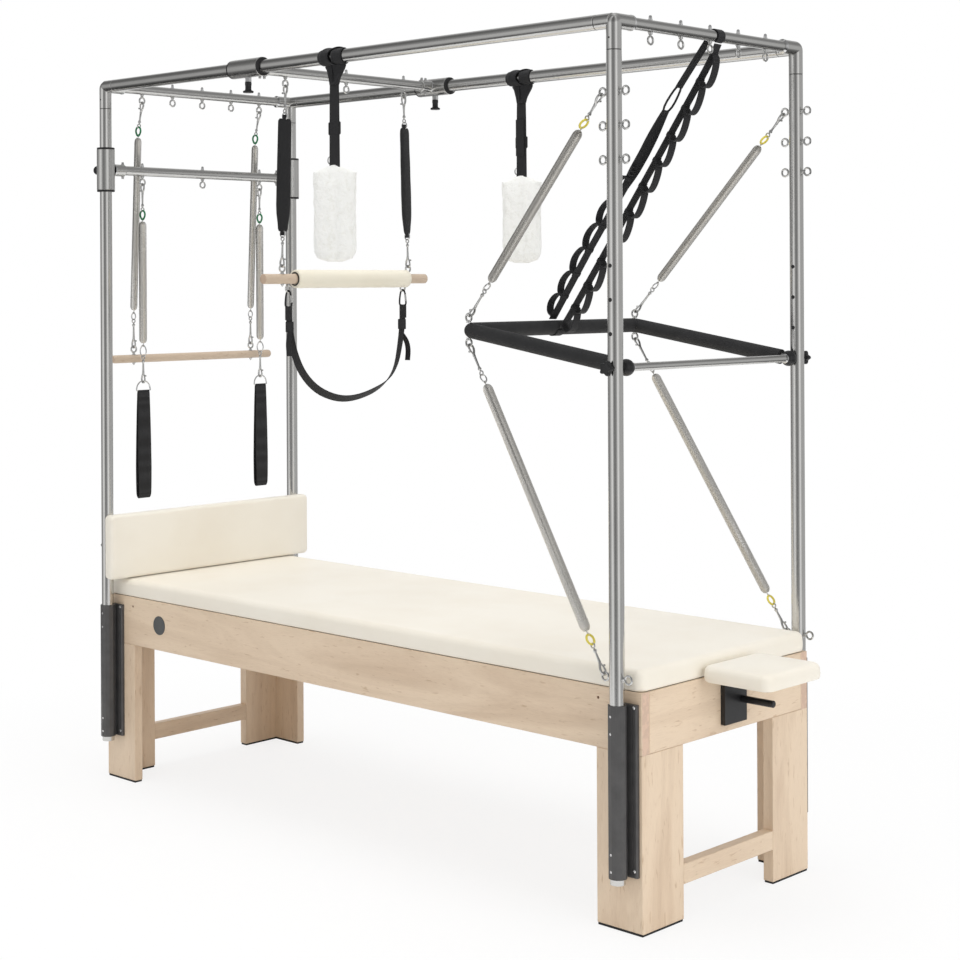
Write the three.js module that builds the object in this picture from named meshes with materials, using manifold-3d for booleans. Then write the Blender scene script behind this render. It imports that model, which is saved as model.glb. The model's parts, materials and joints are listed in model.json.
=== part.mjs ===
// Pilates trapeze table: a padded table under a tube canopy with springs, a swinging trapeze, cuffs,
// a height adjustable crossbar and a sprung push-through bar.
// Millimetres. +Z is up, +X points along the table to the push-through bar, -Y is the near long side,
// and the origin lies on the floor under the middle of the whole outline.
import * as THREE from "three";
import { mergeVertices } from "three/addons/utils/BufferGeometryUtils.js";
import Module from "manifold-3d";

const wasm = await Module();
wasm.setup();

// Gaps and facets
const fit = 0.3; // between pieces that touch or run on each other
const slideFit = 0.6; // radial, between a sleeve's bush and its tube
const overrun = 6; // how far a cut runs past the faces that it opens
const weldDistance = 0.001;
const tubeSides = 16;
const barSides = 12;
const pinSides = 6;
const frameSides = 8;
const sleeveSides = 12;
const wrapSides = 8;
const nutSides = 6;
const studSides = 4;
const ringSteps = 6;
const wireSides = 3;

// Canopy tubes and their three-way corner fittings
const topZ = 2200;
const postX = 1038;
const postY = 387;
const postFootZ = 126;
const tubeOd = 38;
const sink = 2; // how far joined pieces run into each other
const barOd = 30;
const fittingDrop = 70;
const fittingAlong = 52;
const fittingAcross = 68;
const neckLength = 6;
const neckRadius = 17;

// Eyebolts
const eyeDrop = 35; // tube axis to ring centre
const eyeMajor = 10;
const eyeWire = 2;
const eyeStud = 3;
const eyeNut = 6.5;
const eyeNutHeight = 5;
const eyeSpacing = 122.5;
const sideEyeReach = 35.5; // post axis to the centre of a ring on its side
const postEyeHeights = [2030, 1948, 1866];
const lowEyeZ = 620;
const holePitch = 82;
const plainHoles = 3; // above the pivot hole
const plainHoleRadius = 5;
const liftHoles = 2; // the plunger's hole and the next one down

// Table
const tableHalfLength = 1086.6;
const tableHalfWidth = 353.5;
const board = 30;
const easing = 1.5; // bevel of the boards' end edges
const railTop = 585;
const railHeight = 150.6;
const legAlong = 142;
const legAcross = 162;
const legBlock = 45;
const legBlockFoot = 300;
const footHeight = 6;
const footInset = 2;
const stretcherZ = 90;
const stretcherHeight = 50;
const deckThickness = 18;
const cleatHeight = 25;
const cleatDepth = 22;
const railBoltX = 951;
const railBoltZ = 556;
const railBoltRadius = 4;
const railBoltDepth = 9;

// Mat, upright pad and end cushion
const matHalfLength = 1084.4;
const matHalfWidth = 352;
const matThickness = 55;
const matEdge = 20;
const matCorner = 26;
const matCrown = 3;
const padHalfWidth = 411;
const padTopZ = 843;
const padThickness = 39;
const padEdge = 12;
const padCorner = 16;
const padCrown = 5;
const padBoltZ = 743;
const padBoltRadius = 4;
const padBoltNut = 8;
const padNutHeight = 7;
const padBoltTail = 6;
const endCushionX = 1095;
const endCushionLength = 202;
const endCushionY = -10;
const endCushionWidth = 242;
const endCushionThickness = 45;
const endCushionZ = 580;
const endCushionEdge = 18;
const endCushionCorner = 34;
const endCushionCrown = 5;
const blockY = 12;
const blockWidth = 94;
const blockZ = 455;
const blockDepth = 13.4;
const tongueThickness = 5;
const tongueLength = 165;
const pegRadius = 9.25;
const pegLength = 96;
const pegY = 40;
const pegZ = 511;
const pegStep = 2;

// Post brackets
const bracketZ = 141;
const bracketHeight = 415.5;
const clampRadius = 23.2;
const flangeHalf = 40;
const flangeThickness = 10;
const flangeEase = 3;
const grooveDepth = 1.6;
const grooveWidth = 3;
const grooveAt = [27.5, 36];

// Sliding sleeves of the top carriage and of the height adjustable crossbar
const carriageX = -331;
const carriageSleeve = 140;
const carriageOd = 55;
const bushFlange = 6;
const bushStep = 1.5;
const stubRadius = 19;
const stubEnd = 319;
const liftZ = 1936.5;
const liftSleeve = 140;
const liftOd = 57;
const collarRadius = 10;
const collarHeight = 13;
const plungerPin = 3.7;
const plungerStem = 9.75;
const plungerStemLength = 24;
const plungerFlange = 15.5;
const plungerFlangeHeight = 7;
const ballRadius = 14.75;
const ballNeck = 8;
const ballReach = 57;
const liftCollarRadius = 9;
const liftCollarHeight = 5;

// Push-through bar
const pivotZ = 1365;
const pushX = 513;
const pushZ = 1448;
const pushY = 346;
const pushOd = 25;
const foamOd = 40;
const hubRadius = 21;
const rodOd = 20;
const hubStud = 5;
const pushEyeDrop = 33;
const foamStart = 24; // from the pivot axis to the end of the foam
const starRadius = 19;
const starLobes = 5;
const starThickness = 13;
const starBoss = 9;
const starBossLength = 9;
const starStudDepth = 9; // into the hub

// Snap hooks, rings and springs
const snapMajor = 8;
const snapWire = 1.75;
const snapPinch = 2.1;
const snapEye = 3.4;
const springRing = 13;
const springRingWire = 2;
const steelRing = 10.5;
const steelRingWire = 1.75;
const handleRing = 16;
const springLead = 6;
const springCone = 13;
const bandDepth = 4;
const turnGap = 1.4;
const springWire = 1.3;
const rolldownSpring = { od: 24, curls: 4 };
const handleSpring = { od: 26, curls: 4 };
const pushUpperSpring = { od: 25, curls: 4 };
const pushLowerSpring = { od: 27.5, curls: 5 };
const rolldownSnap = 86;
const handleSnap = 94;
const pushSnap = 86;
const lowerSnap = 96;

// Roll-down bar
const rolldownX = -1089;
const rolldownLean = -1059; // where its upper ring hangs
const rolldownZ = 1331;
const rolldownOd = 26;
const rolldownHalf = 330;
const rolldownRound = 8;
const tipLength = 9;

// Handle loops
const strapThickness = 3;
const handleWidth = 50;
const handleTopZ = 1260; // centre of the D ring's upper wire
const handleDrop = 32;
const handleRingHalf = 27;
const handleFootZ = 882;
const handleHalfGap = 6;

// Trapeze, hangers and sling
const trapezeZ = 1586;
const trapezeOd = 30;
const trapezeHalf = 335;
const trapezeEyeY = 261;
const trapezeEyeRise = 31;
const rollOd = 55;
const rollY = 20.5;
const rollHalf = 232.5;
const rollEase = 4;
const hangerRingZ = 2069;
const hangerFootZ = 1719;
const hangerHalfWidths = [6, 18.5, 19.5, 21, 19, 14, 6];
const hangerHalfDepths = [2, 5, 7, 8, 7, 5, 2];
const hangerShares = [0, 0.06, 0.3, 0.74, 0.88, 0.96, 1];
const slingEyeY = 237;
const slingEyeDrop = 29;
const clipHeight = 50;
const clipTop = 6;
const clipFoot = 15;
const slingWidth = 24;
const slingFootZ = 1216;
const slingShares = [[-1, 0], [-0.97, 0.36], [-0.78, 0.7], [-0.42, 0.93], [-0.1, 1], [0.4, 0.94], [0.8, 0.76],
  [0.96, 0.42], [1, 0]]; // of the clips' spread and of the sling's depth

// Cuffs
const cuffX = 41;
const cuffWrapHalf = 55;
const cuffBand = 36;
const cuffStrapWidth = 40;
const cuffStrapFoot = 1897;
const cuffBuckleZ = 1985;
const cuffBuckleHeight = 34;
const cuffBuckleWidth = 50;
const cuffBuckleDepth = 8;
const cuffTurn = 35;
const cuffLength = 268;
const cuffTop = 1900;
const cuffHalfWidths = [16, 44, 62, 66, 67, 62, 44, 18];
const cuffHalfDepths = [8, 20, 26, 28, 28, 27, 22, 9];
const cuffShares = [0, 0.05, 0.2, 0.45, 0.72, 0.9, 0.97, 1];

// Loop strap between the foot cross tube and the push-through bar
const loopStrapY = 27;
const loopStrapShift = -29; // across, from its upper end to its lower end
const loopStrapWidth = 30;
const loopStrapThickness = 2.5;
const lowerRunShares = [[0.02, -0.55], [0.12, -1], [0.6, -1.15], [0.9, -0.95], [0.985, -0.72]];
const lowerLoopShares = [0.07, 0.18, 0.29, 0.4, 0.51, 0.63, 0.75, 0.87];
const upperRunShares = [[0.04, 0.25], [0.17, -0.05], [0.25, 0.1], [0.5, 0.8], [0.66, 0.75], [0.86, 1.1], [0.985, 0.74]];
const upperLoopShares = [0.56, 0.655, 0.75, 0.845, 0.94];
const runSpread = 33;
const loopHeight = 20;
const buckleShare = 0.5;
const linkShares = [0.17, 0.25];
const buckleLength = 30;
const buckleWidth = 40;
const buckleDepth = 7;

// Shape kit

const AXIS = { x: new THREE.Vector3(1, 0, 0), y: new THREE.Vector3(0, 1, 0), z: new THREE.Vector3(0, 0, 1) };
const point = (x, y, z) => new THREE.Vector3(x, y, z);
const aimed = (from, to) => to.clone().sub(from).normalize();
const boreRadius = (radius, gap, sides) => (radius + gap) / Math.cos(Math.PI / sides);

// A closed geometry as a solid that can be joined and cut, with its faces turned out.
function solid(geometry, matrix) {
  let shape = geometry.index ? geometry.toNonIndexed() : geometry.clone();
  shape.deleteAttribute("normal");
  shape.deleteAttribute("uv");
  if (matrix) shape.applyMatrix4(matrix);
  shape = mergeVertices(shape, weldDistance);
  const corners = shape.index.array;
  const faces = [];
  for (let i = 0; i < corners.length; i += 3) {
    const [a, b, c] = [corners[i], corners[i + 1], corners[i + 2]];
    if (a !== b && b !== c && c !== a) faces.push([a, b, c]);
  }
  const build = (list) =>
    new wasm.Manifold(new wasm.Mesh({
      numProp: 3, vertProperties: shape.attributes.position.array, triVerts: new Uint32Array(list.flat()),
    }));
  const made = build(faces);
  return made.volume() < 0 ? build(faces.map(([a, b, c]) => [a, c, b])) : made;
}

const joined = (...bodies) => bodies.flat().reduce((sum, body) => sum.add(body));
const without = (body, ...cuts) => cuts.flat().reduce((rest, cut) => rest.subtract(cut), body);

// A matrix that carries local X, Y and Z to the given directions, at the given origin.
function frame(origin, zDirection, xHint = AXIS.x) {
  const z = zDirection.clone().normalize();
  const hint = Math.abs(z.dot(xHint)) > Math.cos(Math.PI / 12) ? point(z.y, z.z, z.x) : xHint;
  const x = hint.clone().addScaledVector(z, -hint.dot(z)).normalize();
  return new THREE.Matrix4().makeBasis(x, z.clone().cross(x), z).setPosition(origin);
}

// A round bar between two points.
function rod(from, to, radius, sides = pinSides) {
  const length = from.distanceTo(to);
  const bar = new THREE.CylinderGeometry(radius, radius, length, sides).rotateX(Math.PI / 2);
  return solid(bar.translate(0, 0, length / 2), frame(from, aimed(from, to)));
}

// A solid of revolution: a profile of [radius, height] pairs about the direction given.
function turned(profile, origin, direction, sides = pinSides) {
  const lathe = new THREE.LatheGeometry(profile.map(([r, h]) => new THREE.Vector2(r, h)), sides);
  return solid(lathe.rotateX(Math.PI / 2), frame(origin, direction));
}

// A pipe with an open bore.
function pipe(from, to, radius, bore, sides = tubeSides) {
  const length = from.distanceTo(to);
  return turned([[bore, 0], [radius, 0], [radius, length], [bore, length], [bore, 0]], from, aimed(from, to), sides);
}

function block(low, high) {
  const size = high.clone().sub(low);
  const middle = low.clone().add(high).divideScalar(2);
  return solid(new THREE.BoxGeometry(size.x, size.y, size.z).translate(middle.x, middle.y, middle.z));
}

// A sawn board between two corners, with its end edges eased across its thickness.
function plank(low, high, thicknessAxis, ease = easing) {
  const size = high.clone().sub(low);
  const [u, v, w] = { x: ["y", "z", "x"], y: ["z", "x", "y"], z: ["x", "y", "z"] }[thicknessAxis];
  const outline = new THREE.Shape([
    new THREE.Vector2(0, 0), new THREE.Vector2(size[u], 0),
    new THREE.Vector2(size[u], size[v]), new THREE.Vector2(0, size[v]),
  ].map((p) => p.set(Math.min(Math.max(p.x, ease), size[u] - ease), Math.min(Math.max(p.y, ease), size[v] - ease))));
  const slab = new THREE.ExtrudeGeometry(outline, {
    depth: size[w] - 2 * ease, bevelEnabled: true, bevelThickness: ease, bevelSize: ease, bevelSegments: 1,
  }).translate(0, 0, ease);
  const basis = new THREE.Matrix4().makeBasis(AXIS[u], AXIS[v], AXIS[w]).setPosition(low);
  return solid(slab, basis);
}

// A flat outline pushed along the cross product of its two directions, centred on its plane.
function slab(outline, thickness, origin, uDirection, vDirection) {
  const shape = outline instanceof THREE.Shape ? outline
    : new THREE.Shape(outline.map(([u, v]) => new THREE.Vector2(u, v)));
  const body = new THREE.ExtrudeGeometry(shape, { depth: thickness, bevelEnabled: false, curveSegments: tubeSides });
  const w = uDirection.clone().cross(vDirection);
  const basis = new THREE.Matrix4().makeBasis(uDirection, vDirection, w).setPosition(origin);
  return solid(body.translate(0, 0, -thickness / 2), basis);
}

// Mitred unit normals of a flat polyline, to its left.
function sideways(path, closed = false) {
  return path.map(([u, v], i) => {
    const before = path[closed ? (i + path.length - 1) % path.length : Math.max(i - 1, 0)];
    const after = path[closed ? (i + 1) % path.length : Math.min(i + 1, path.length - 1)];
    const a = new THREE.Vector2(u - before[0], v - before[1]).normalize();
    const b = new THREE.Vector2(after[0] - u, after[1] - v).normalize();
    const t = a.clone().add(b).normalize();
    const stretch = a.lengthSq() && b.lengthSq() ? 1 / Math.max(t.dot(b), Math.cos(Math.PI / 3)) : 1;
    return [-t.y * stretch, t.x * stretch];
  });
}

const shifted = (path, normals, distance) =>
  path.map(([u, v], i) => [u + normals[i][0] * distance, v + normals[i][1] * distance]);

// Webbing along a flat open path.
function webbing(path, thickness, width, origin, uDirection, vDirection) {
  const n = sideways(path);
  const outline = [...shifted(path, n, -thickness / 2), ...shifted(path, n, thickness / 2).reverse()];
  return slab(outline, width, origin, uDirection, vDirection);
}

// Webbing sewn into a closed loop that runs anticlockwise.
function webbingLoop(path, thickness, width, origin, uDirection, vDirection) {
  const n = sideways(path, true);
  const asPoints = (list) => list.map(([u, v]) => new THREE.Vector2(u, v));
  const shape = new THREE.Shape(asPoints(shifted(path, n, -thickness / 2)));
  shape.holes.push(new THREE.Path(asPoints(shifted(path, n, thickness / 2))));
  return slab(shape, width, origin, uDirection, vDirection);
}

// A surface through rings of equally many points, closed over its two ends or from the last ring to the first.
function lofted(rings, endless = false) {
  const count = rings[0].length;
  const corners = rings.flat().flatMap((p) => [p.x, p.y, p.z]);
  const faces = [];
  const spans = endless ? rings.length : rings.length - 1;
  for (let i = 0; i < spans; i++) {
    const next = (i + 1) % rings.length;
    for (let j = 0; j < count; j++) {
      const k = (j + 1) % count;
      faces.push(i * count + j, i * count + k, next * count + k, i * count + j, next * count + k, next * count + j);
    }
  }
  const centre = (ring) => ring.reduce((sum, p) => sum.add(p), point(0, 0, 0)).divideScalar(count);
  if (!endless) {
    [[rings[0], 0, -1], [rings[rings.length - 1], (rings.length - 1) * count, 1]].forEach(([ring, first, turn]) => {
      const middle = centre(ring);
      const hub = corners.length / 3;
      corners.push(middle.x, middle.y, middle.z);
      for (let j = 0; j < count; j++) {
        const pair = [first + j, first + ((j + 1) % count)];
        faces.push(hub, ...(turn > 0 ? pair : pair.reverse()));
      }
    });
  }
  const geometry = new THREE.BufferGeometry();
  geometry.setAttribute("position", new THREE.Float32BufferAttribute(corners, 3));
  geometry.setIndex(faces);
  return geometry;
}

// Round wire bent along a closed flat path, given as points in the plane square to the normal.
function wireLoop(points, normal, radius) {
  const rings = points.map((p, i) => {
    const before = aimed(points[(i + points.length - 1) % points.length], p);
    const after = aimed(p, points[(i + 1) % points.length]);
    const tangent = before.clone().add(after).normalize();
    const out = tangent.clone().cross(normal).normalize();
    const mitre = 1 / Math.max(tangent.dot(after), Math.cos(Math.PI / 3));
    return Array.from({ length: wireSides }, (_, k) => {
      const angle = Math.PI + (2 * Math.PI * k) / wireSides;
      return p.clone().addScaledVector(out, radius * mitre * Math.cos(angle))
        .addScaledVector(normal, radius * Math.sin(angle));
    });
  });
  return solid(lofted(rings, true));
}

// A ring of wire with one of its corners turned to the direction given.
function ring(centre, normal, towards, major, wire) {
  const u = towards.clone().addScaledVector(normal, -towards.dot(normal)).normalize();
  const v = normal.clone().cross(u);
  const points = Array.from({ length: ringSteps }, (_, i) => {
    const angle = (2 * Math.PI * i) / ringSteps;
    return centre.clone().addScaledVector(u, major * Math.cos(angle)).addScaledVector(v, major * Math.sin(angle));
  });
  return wireLoop(points, normal, wire);
}

// Hardware

const shankOf = (major, wire) => major - wire / 2;

// An eyebolt on a tube: its ring and its square shoulder.
function eyebolt(axisPoint, direction, ringNormal, reach, surface, towards = direction) {
  const at = (distance) => axisPoint.clone().addScaledVector(direction, distance);
  const shoulder = reach - shankOf(eyeMajor, eyeWire) - surface + eyeNutHeight / 2;
  const parts = [
    ring(at(reach), ringNormal, towards, eyeMajor, eyeWire),
    turned([[0, 0], [eyeNut, 0], [eyeNut, shoulder / 2], [eyeStud, shoulder], [0, shoulder]],
      at(surface - eyeNutHeight / 2), direction, studSides),
  ];
  return parts;
}

// The wire of an eye's ring that a hanging hook bears on.
const bearing = (centre, direction) => centre.clone().addScaledVector(direction, eyeMajor);
const ringMitre = 1 / Math.cos(Math.PI / ringSteps);
const linkDrop = (eyeWire + snapWire) * ringMitre + fit;

// A snap hook of bent wire from the wire that it hooks to the near wire of the ring that it holds: a claw
// that narrows to its shank and closes in a small eye.
function snapHook(hooked, held, clawNormal) {
  const d = aimed(hooked, held);
  const across = d.clone().cross(clawNormal).normalize();
  const reach = hooked.distanceTo(held);
  const top = -linkDrop;
  const eyeStart = reach - snapEye * 2;
  const half = [[0, top], [snapMajor / ringMitre, top + snapMajor / 2],
    [snapPinch, top + snapMajor * 2.4], [snapPinch, eyeStart], [snapEye, eyeStart + snapEye], [0, reach]];
  const outline = [...half, ...half.slice(1, -1).reverse().map(([u, t]) => [-u, t])];
  return wireLoop(outline.map(([u, t]) => hooked.clone().addScaledVector(d, t).addScaledVector(across, u)), clawNormal,
    snapWire);
}

const springGaps = [];

// A close-wound spring as one band wound round the line from a to b. Its section lies in the radial plane
// and fills the pitch but for the gap between turns, and both ends close in to a straight axial wire.
function windSpring(a, b, { od, curls }) {
  const stepsPerCurl = 8;
  const axial = aimed(a, b);
  const basis = frame(a, axial);
  const total = a.distanceTo(b);
  const steps = stepsPerCurl * curls;
  const bodyLength = total - 2 * (springLead + springCone);
  const height = (i) => {
    const first = Math.min(i / stepsPerCurl, 1);
    const last = Math.max((i - steps + stepsPerCurl) / stepsPerCurl, 0);
    const middle = Math.min(Math.max((i - stepsPerCurl) / (steps - 2 * stepsPerCurl), 0), 1);
    return springLead + springCone * (first + last) + bodyLength * middle;
  };
  const ease = (t) => { const s = Math.min(Math.max(t, 0), 1); return s * s * (3 - 2 * s); };
  const sections = [];
  for (let i = 0; i <= steps; i++) {
    const open = ease((Math.min(i, steps - i) / stepsPerCurl) * 1.25);
    const angle = (2 * Math.PI * i) / stepsPerCurl;
    const radial = point(Math.cos(angle), Math.sin(angle), 0);
    const around = point(-Math.sin(angle), Math.cos(angle), 0);
    const lean = (Math.PI / 2) * ease((Math.min(i, steps - i) / stepsPerCurl) * 2.5);
    const wide = around.clone().multiplyScalar(-Math.cos(lean)).add(point(0, 0, Math.sin(lean)));
    const before = i >= stepsPerCurl ? (height(i) - height(i - stepsPerCurl) - turnGap) / 2 : springWire;
    const after = i <= steps - stepsPerCurl ? (height(i + stepsPerCurl) - height(i) - turnGap) / 2 : springWire;
    const shut = open * open;
    const low = springWire + (before - springWire) * shut;
    const high = springWire + (after - springWire) * shut;
    const depth = springWire + (bandDepth / 2 - springWire) * open;
    const centre = radial.clone().multiplyScalar((od / 2 - bandDepth / 2) * open).setZ(height(i));
    sections.push([[depth, -low * 0.9], [depth * 1.25, (high - low) / 2], [depth, high * 0.9], [-depth, high], [-depth, -low]]
      .map(([u, w]) => centre.clone().addScaledVector(radial, u).addScaledVector(wide, w)));
  }
  const moved = (section, z) => section.map((p) => p.clone().setZ(z));
  const rings = [moved(sections[0], 0), ...sections, moved(sections[steps], total)];
  let least = Infinity;
  sections.forEach((section, i) => sections.slice(i + stepsPerCurl / 2 + 1).forEach((other) =>
    section.forEach((p) => other.forEach((q) => { least = Math.min(least, p.distanceTo(q)); }))));
  springGaps.push(least);
  return solid(lofted(rings), basis);
}

// A spring between two rings, with a snap hook at each end. Points: hooked wire, ring, ring, hooked wire.
function springLine(hookTop, ringTop, ringFoot, hookFoot, clawNormal, spring, footMajor = steelRing) {
  const d = aimed(ringTop, ringFoot);
  const upper = aimed(hookTop, ringTop);
  const lower = aimed(hookFoot, ringFoot);
  const ringNormal = clawNormal;
  return joined(
    snapHook(hookTop, ringTop.clone().addScaledVector(upper, -springRing + springRingWire / 2), clawNormal),
    ring(ringTop, ringNormal, d, springRing, springRingWire),
    windSpring(ringTop.clone().addScaledVector(d, springRing), ringFoot.clone().addScaledVector(d, -footMajor), spring),
    ring(ringFoot, ringNormal, d, footMajor, steelRingWire),
    snapHook(hookFoot, ringFoot.clone().addScaledVector(lower, -footMajor + steelRingWire / 2), clawNormal),
  );
}

// A cushion with rounded edges, sides that draw in a little below and a crowned top. Local Z is its thickness.
function cushion(halfLength, halfWidth, thickness, edge, corner, crown, matrix) {
  const cornerPoints = corner > edge * 1.5 ? 3 : 2;
  const outline = (inset) => {
    const r = Math.max(corner - inset, edge / 10);
    const points = [];
    [[1, 1], [-1, 1], [-1, -1], [1, -1]].forEach(([sx, sy], quarter) => {
      for (let i = 0; i <= cornerPoints; i++) {
        const angle = (Math.PI / 2) * (quarter + i / cornerPoints);
        points.push([sx * (halfLength - inset - r) + r * Math.cos(angle),
          sy * (halfWidth - inset - r) + r * Math.sin(angle)]);
      }
    });
    return points;
  };
  const inner = Math.min(halfLength, halfWidth);
  const sideShares = [[0.4, 0], [0.06, 0.1], [0, 0.55]];
  const roundShares = [[0.1, 0.42], [0.35, 0.76], [0.75, 0.95]];
  const body = thickness - crown;
  const levels = [
    ...sideShares.map(([inset, rise]) => [inset * edge, rise * (body - edge * 0.2)]),
    ...roundShares.map(([inset, rise]) => [inset * edge, body - edge * (1 - rise)]),
    [edge * 1.3, body],
    [edge * 1.3 + (inner - edge * 1.3) * 0.3, body + crown * 0.62],
    [edge * 1.3 + (inner - edge * 1.3) * 0.7, body + crown * 0.94],
  ].filter(([, z], i, all) => i === 0 || z > all[i - 1][1]);
  const rings = levels.map(([inset, z]) => outline(inset).map(([x, y]) => point(x, y, z)));
  return solid(lofted(rings), matrix);
}

// A soft body that swells and tapers along a line: half widths and half depths at shares of its length.
function padded(from, to, widthDirection, shares, halfWidths, halfDepths, count = 10) {
  const d = aimed(from, to);
  const wide = widthDirection.clone().addScaledVector(d, -widthDirection.dot(d)).normalize();
  const deep = d.clone().cross(wide);
  const rings = shares.map((share, i) => Array.from({ length: count }, (_, k) => {
    const angle = (2 * Math.PI * k) / count;
    const flat = (value) => Math.sign(value) * Math.pow(Math.abs(value), 0.8);
    return from.clone().lerp(to, share).addScaledVector(wide, halfWidths[i] * flat(Math.cos(angle)))
      .addScaledVector(deep, halfDepths[i] * flat(Math.sin(angle)));
  }));
  return solid(lofted(rings));
}

// Materials
const finish = (color, roughness, metalness) => new THREE.MeshStandardMaterial({ color, roughness, metalness });
const polished = () => finish(0xd4d6d8, 0.16, 1);
const springSteel = () => finish(0x9b9da0, 0.3, 1);
const darkCoat = () => finish(0x4a4b4d, 0.42, 0.6);
const blackPlastic = () => finish(0x161617, 0.4, 0);
const foam = () => finish(0x1b1b1c, 0.85, 0);
const rubber = () => finish(0x202021, 0.8, 0);
const maple = () => finish(0xe4c7a4, 0.5, 0);
const dowelWood = () => finish(0xe0c49c, 0.45, 0);
const vinyl = () => finish(0xf4f0e8, 0.55, 0);
const fleece = () => finish(0xf0e8d8, 0.95, 0);
const strapBlack = () => finish(0x1a1a1b, 0.8, 0);

// Scene graph: groups follow what moves together, and each piece is drawn about its group's own origin.
const table = new THREE.Group();
function assembly(parent, x, y, z) {
  const group = new THREE.Group();
  parent.updateWorldMatrix(true, false);
  group.position.copy(parent.worldToLocal(point(x, y, z)));
  parent.add(group);
  return group;
}
function piece(group, name, body, material) {
  const data = body.getMesh();
  const geometry = new THREE.BufferGeometry();
  const corners = [];
  for (let i = 0; i < data.numVert; i++) {
    corners.push(...data.vertProperties.subarray(i * data.numProp, i * data.numProp + 3));
  }
  geometry.setAttribute("position", new THREE.Float32BufferAttribute(corners, 3));
  geometry.setIndex(Array.from(data.triVerts));
  group.updateWorldMatrix(true, false);
  geometry.applyMatrix4(group.matrixWorld.clone().invert());
  geometry.computeVertexNormals();
  const mesh = new THREE.Mesh(geometry, material);
  mesh.name = name;
  group.add(mesh);
}

const sides = [["near", -1], ["far", 1]];
const ends = [["head", -1], ["foot", 1]];
const corners = ends.flatMap(([end, sx]) => sides.map(([side, sy]) => [end + "_" + side, sx, sy]));
// Two corners of a box mirrored by signs, put back in order.
function mirroredBox(sx, sy, low, high) {
  const a = low.clone().multiply(point(sx, sy, 1));
  const b = high.clone().multiply(point(sx, sy, 1));
  return [a.clone().min(b), a.clone().max(b)];
}

const tubeRadius = tubeOd / 2;
const barRadius = barOd / 2;
const railFoot = railTop - railHeight;
const innerX = tableHalfLength - board;
const innerY = tableHalfWidth - board;
const deckFoot = railTop - deckThickness;

// Table: rails, legs, stretchers, feet, deck
const bench = assembly(table, 0, 0, 0);
sides.forEach(([side, sy]) => {
  const rail = plank(...mirroredBox(1, sy, point(-tableHalfLength, innerY, railFoot),
    point(tableHalfLength, tableHalfWidth, railTop)), "y");
  const cleatHalf = innerX - legBlock;
  const cleat = block(...mirroredBox(1, sy, point(-cleatHalf, innerY - cleatDepth, deckFoot - cleatHeight),
    point(cleatHalf, innerY + fit, deckFoot)));
  const holes = [-1, 1].map((sx) => rod(point(sx * railBoltX, sy * (tableHalfWidth - railBoltDepth), railBoltZ),
    point(sx * railBoltX, sy * (tableHalfWidth + overrun), railBoltZ), railBoltRadius));
  piece(bench, "side_rail_" + side, without(joined(rail, cleat), holes), maple());
});
ends.forEach(([end, sx]) => {
  piece(bench, "end_rail_" + end, plank(...mirroredBox(sx, 1, point(innerX, -innerY, railFoot),
    point(tableHalfLength, innerY, railTop)), "x"), maple());
  piece(bench, "stretcher_" + end, plank(...mirroredBox(sx, 1, point(innerX, -(tableHalfWidth - legAcross), stretcherZ),
    point(tableHalfLength, tableHalfWidth - legAcross, stretcherZ + stretcherHeight)), "x"), maple());
});
corners.forEach(([name, sx, sy]) => {
  const sideBoard = plank(...mirroredBox(sx, sy, point(tableHalfLength - legAlong, innerY, footHeight),
    point(tableHalfLength, tableHalfWidth, railFoot)), "y");
  const endBoard = plank(...mirroredBox(sx, sy, point(innerX, tableHalfWidth - legAcross, footHeight),
    point(tableHalfLength, innerY + board / 2, railFoot)), "x", easing / 3);
  const cornerBlock = block(...mirroredBox(sx, sy, point(innerX - legBlock, innerY - legBlock, legBlockFoot),
    point(innerX, innerY, deckFoot)));
  const lowBlock = block(...mirroredBox(sx, sy, point(innerX - legBlock, innerY - legBlock, legBlockFoot),
    point(innerX + board / 4, innerY + board / 4, railFoot - board / 4)));
  piece(bench, "leg_" + name, joined(sideBoard, endBoard, cornerBlock, lowBlock), maple());
  const inset = (low, high) => block(...mirroredBox(sx, sy, low, high));
  piece(bench, "foot_" + name, joined(
    inset(point(tableHalfLength - legAlong + footInset, innerY + footInset, 0),
      point(tableHalfLength - footInset, tableHalfWidth - footInset, footHeight)),
    inset(point(innerX + footInset, tableHalfWidth - legAcross + footInset, 0),
      point(tableHalfLength - footInset, tableHalfWidth - footInset, footHeight))), rubber());
});
piece(bench, "deck_board", block(point(-innerX, -innerY, deckFoot), point(innerX, innerY, railTop)), maple());

// Upholstery
piece(bench, "mat", cushion(matHalfLength, matHalfWidth, matThickness, matEdge, matCorner, matCrown,
  new THREE.Matrix4().makeTranslation(0, 0, railTop + fit)), vinyl());
const padZ = railTop + matThickness + 2 * fit;
const padHeight = padTopZ - padZ;
const padBack = -(postX - tubeRadius - fit);
const padBolts = sides.flatMap(([, sy]) => {
  const nutFace = -(postX + tubeRadius + fit);
  const at = (x) => point(x, sy * postY, padBoltZ);
  return [
    rod(at(padBack + padThickness / 2), at(nutFace - padNutHeight - padBoltTail), padBoltRadius),
    rod(at(nutFace), at(nutFace - padNutHeight), padBoltNut, nutSides),
  ];
});
piece(bench, "head_pad", joined(cushion(padHalfWidth, padHeight / 2, padThickness, padEdge, padCorner, padCrown,
  new THREE.Matrix4().makeBasis(AXIS.y, AXIS.z, AXIS.x).setPosition(padBack, 0, padZ + padHeight / 2)),
padBolts), vinyl());
const endCushionMiddle = endCushionX + endCushionLength / 2;
piece(bench, "end_cushion", cushion(endCushionLength / 2, endCushionWidth / 2, endCushionThickness, endCushionEdge,
  endCushionCorner, endCushionCrown, new THREE.Matrix4().makeTranslation(endCushionMiddle, endCushionY, endCushionZ)),
vinyl());
const blockFace = tableHalfLength + blockDepth;
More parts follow.
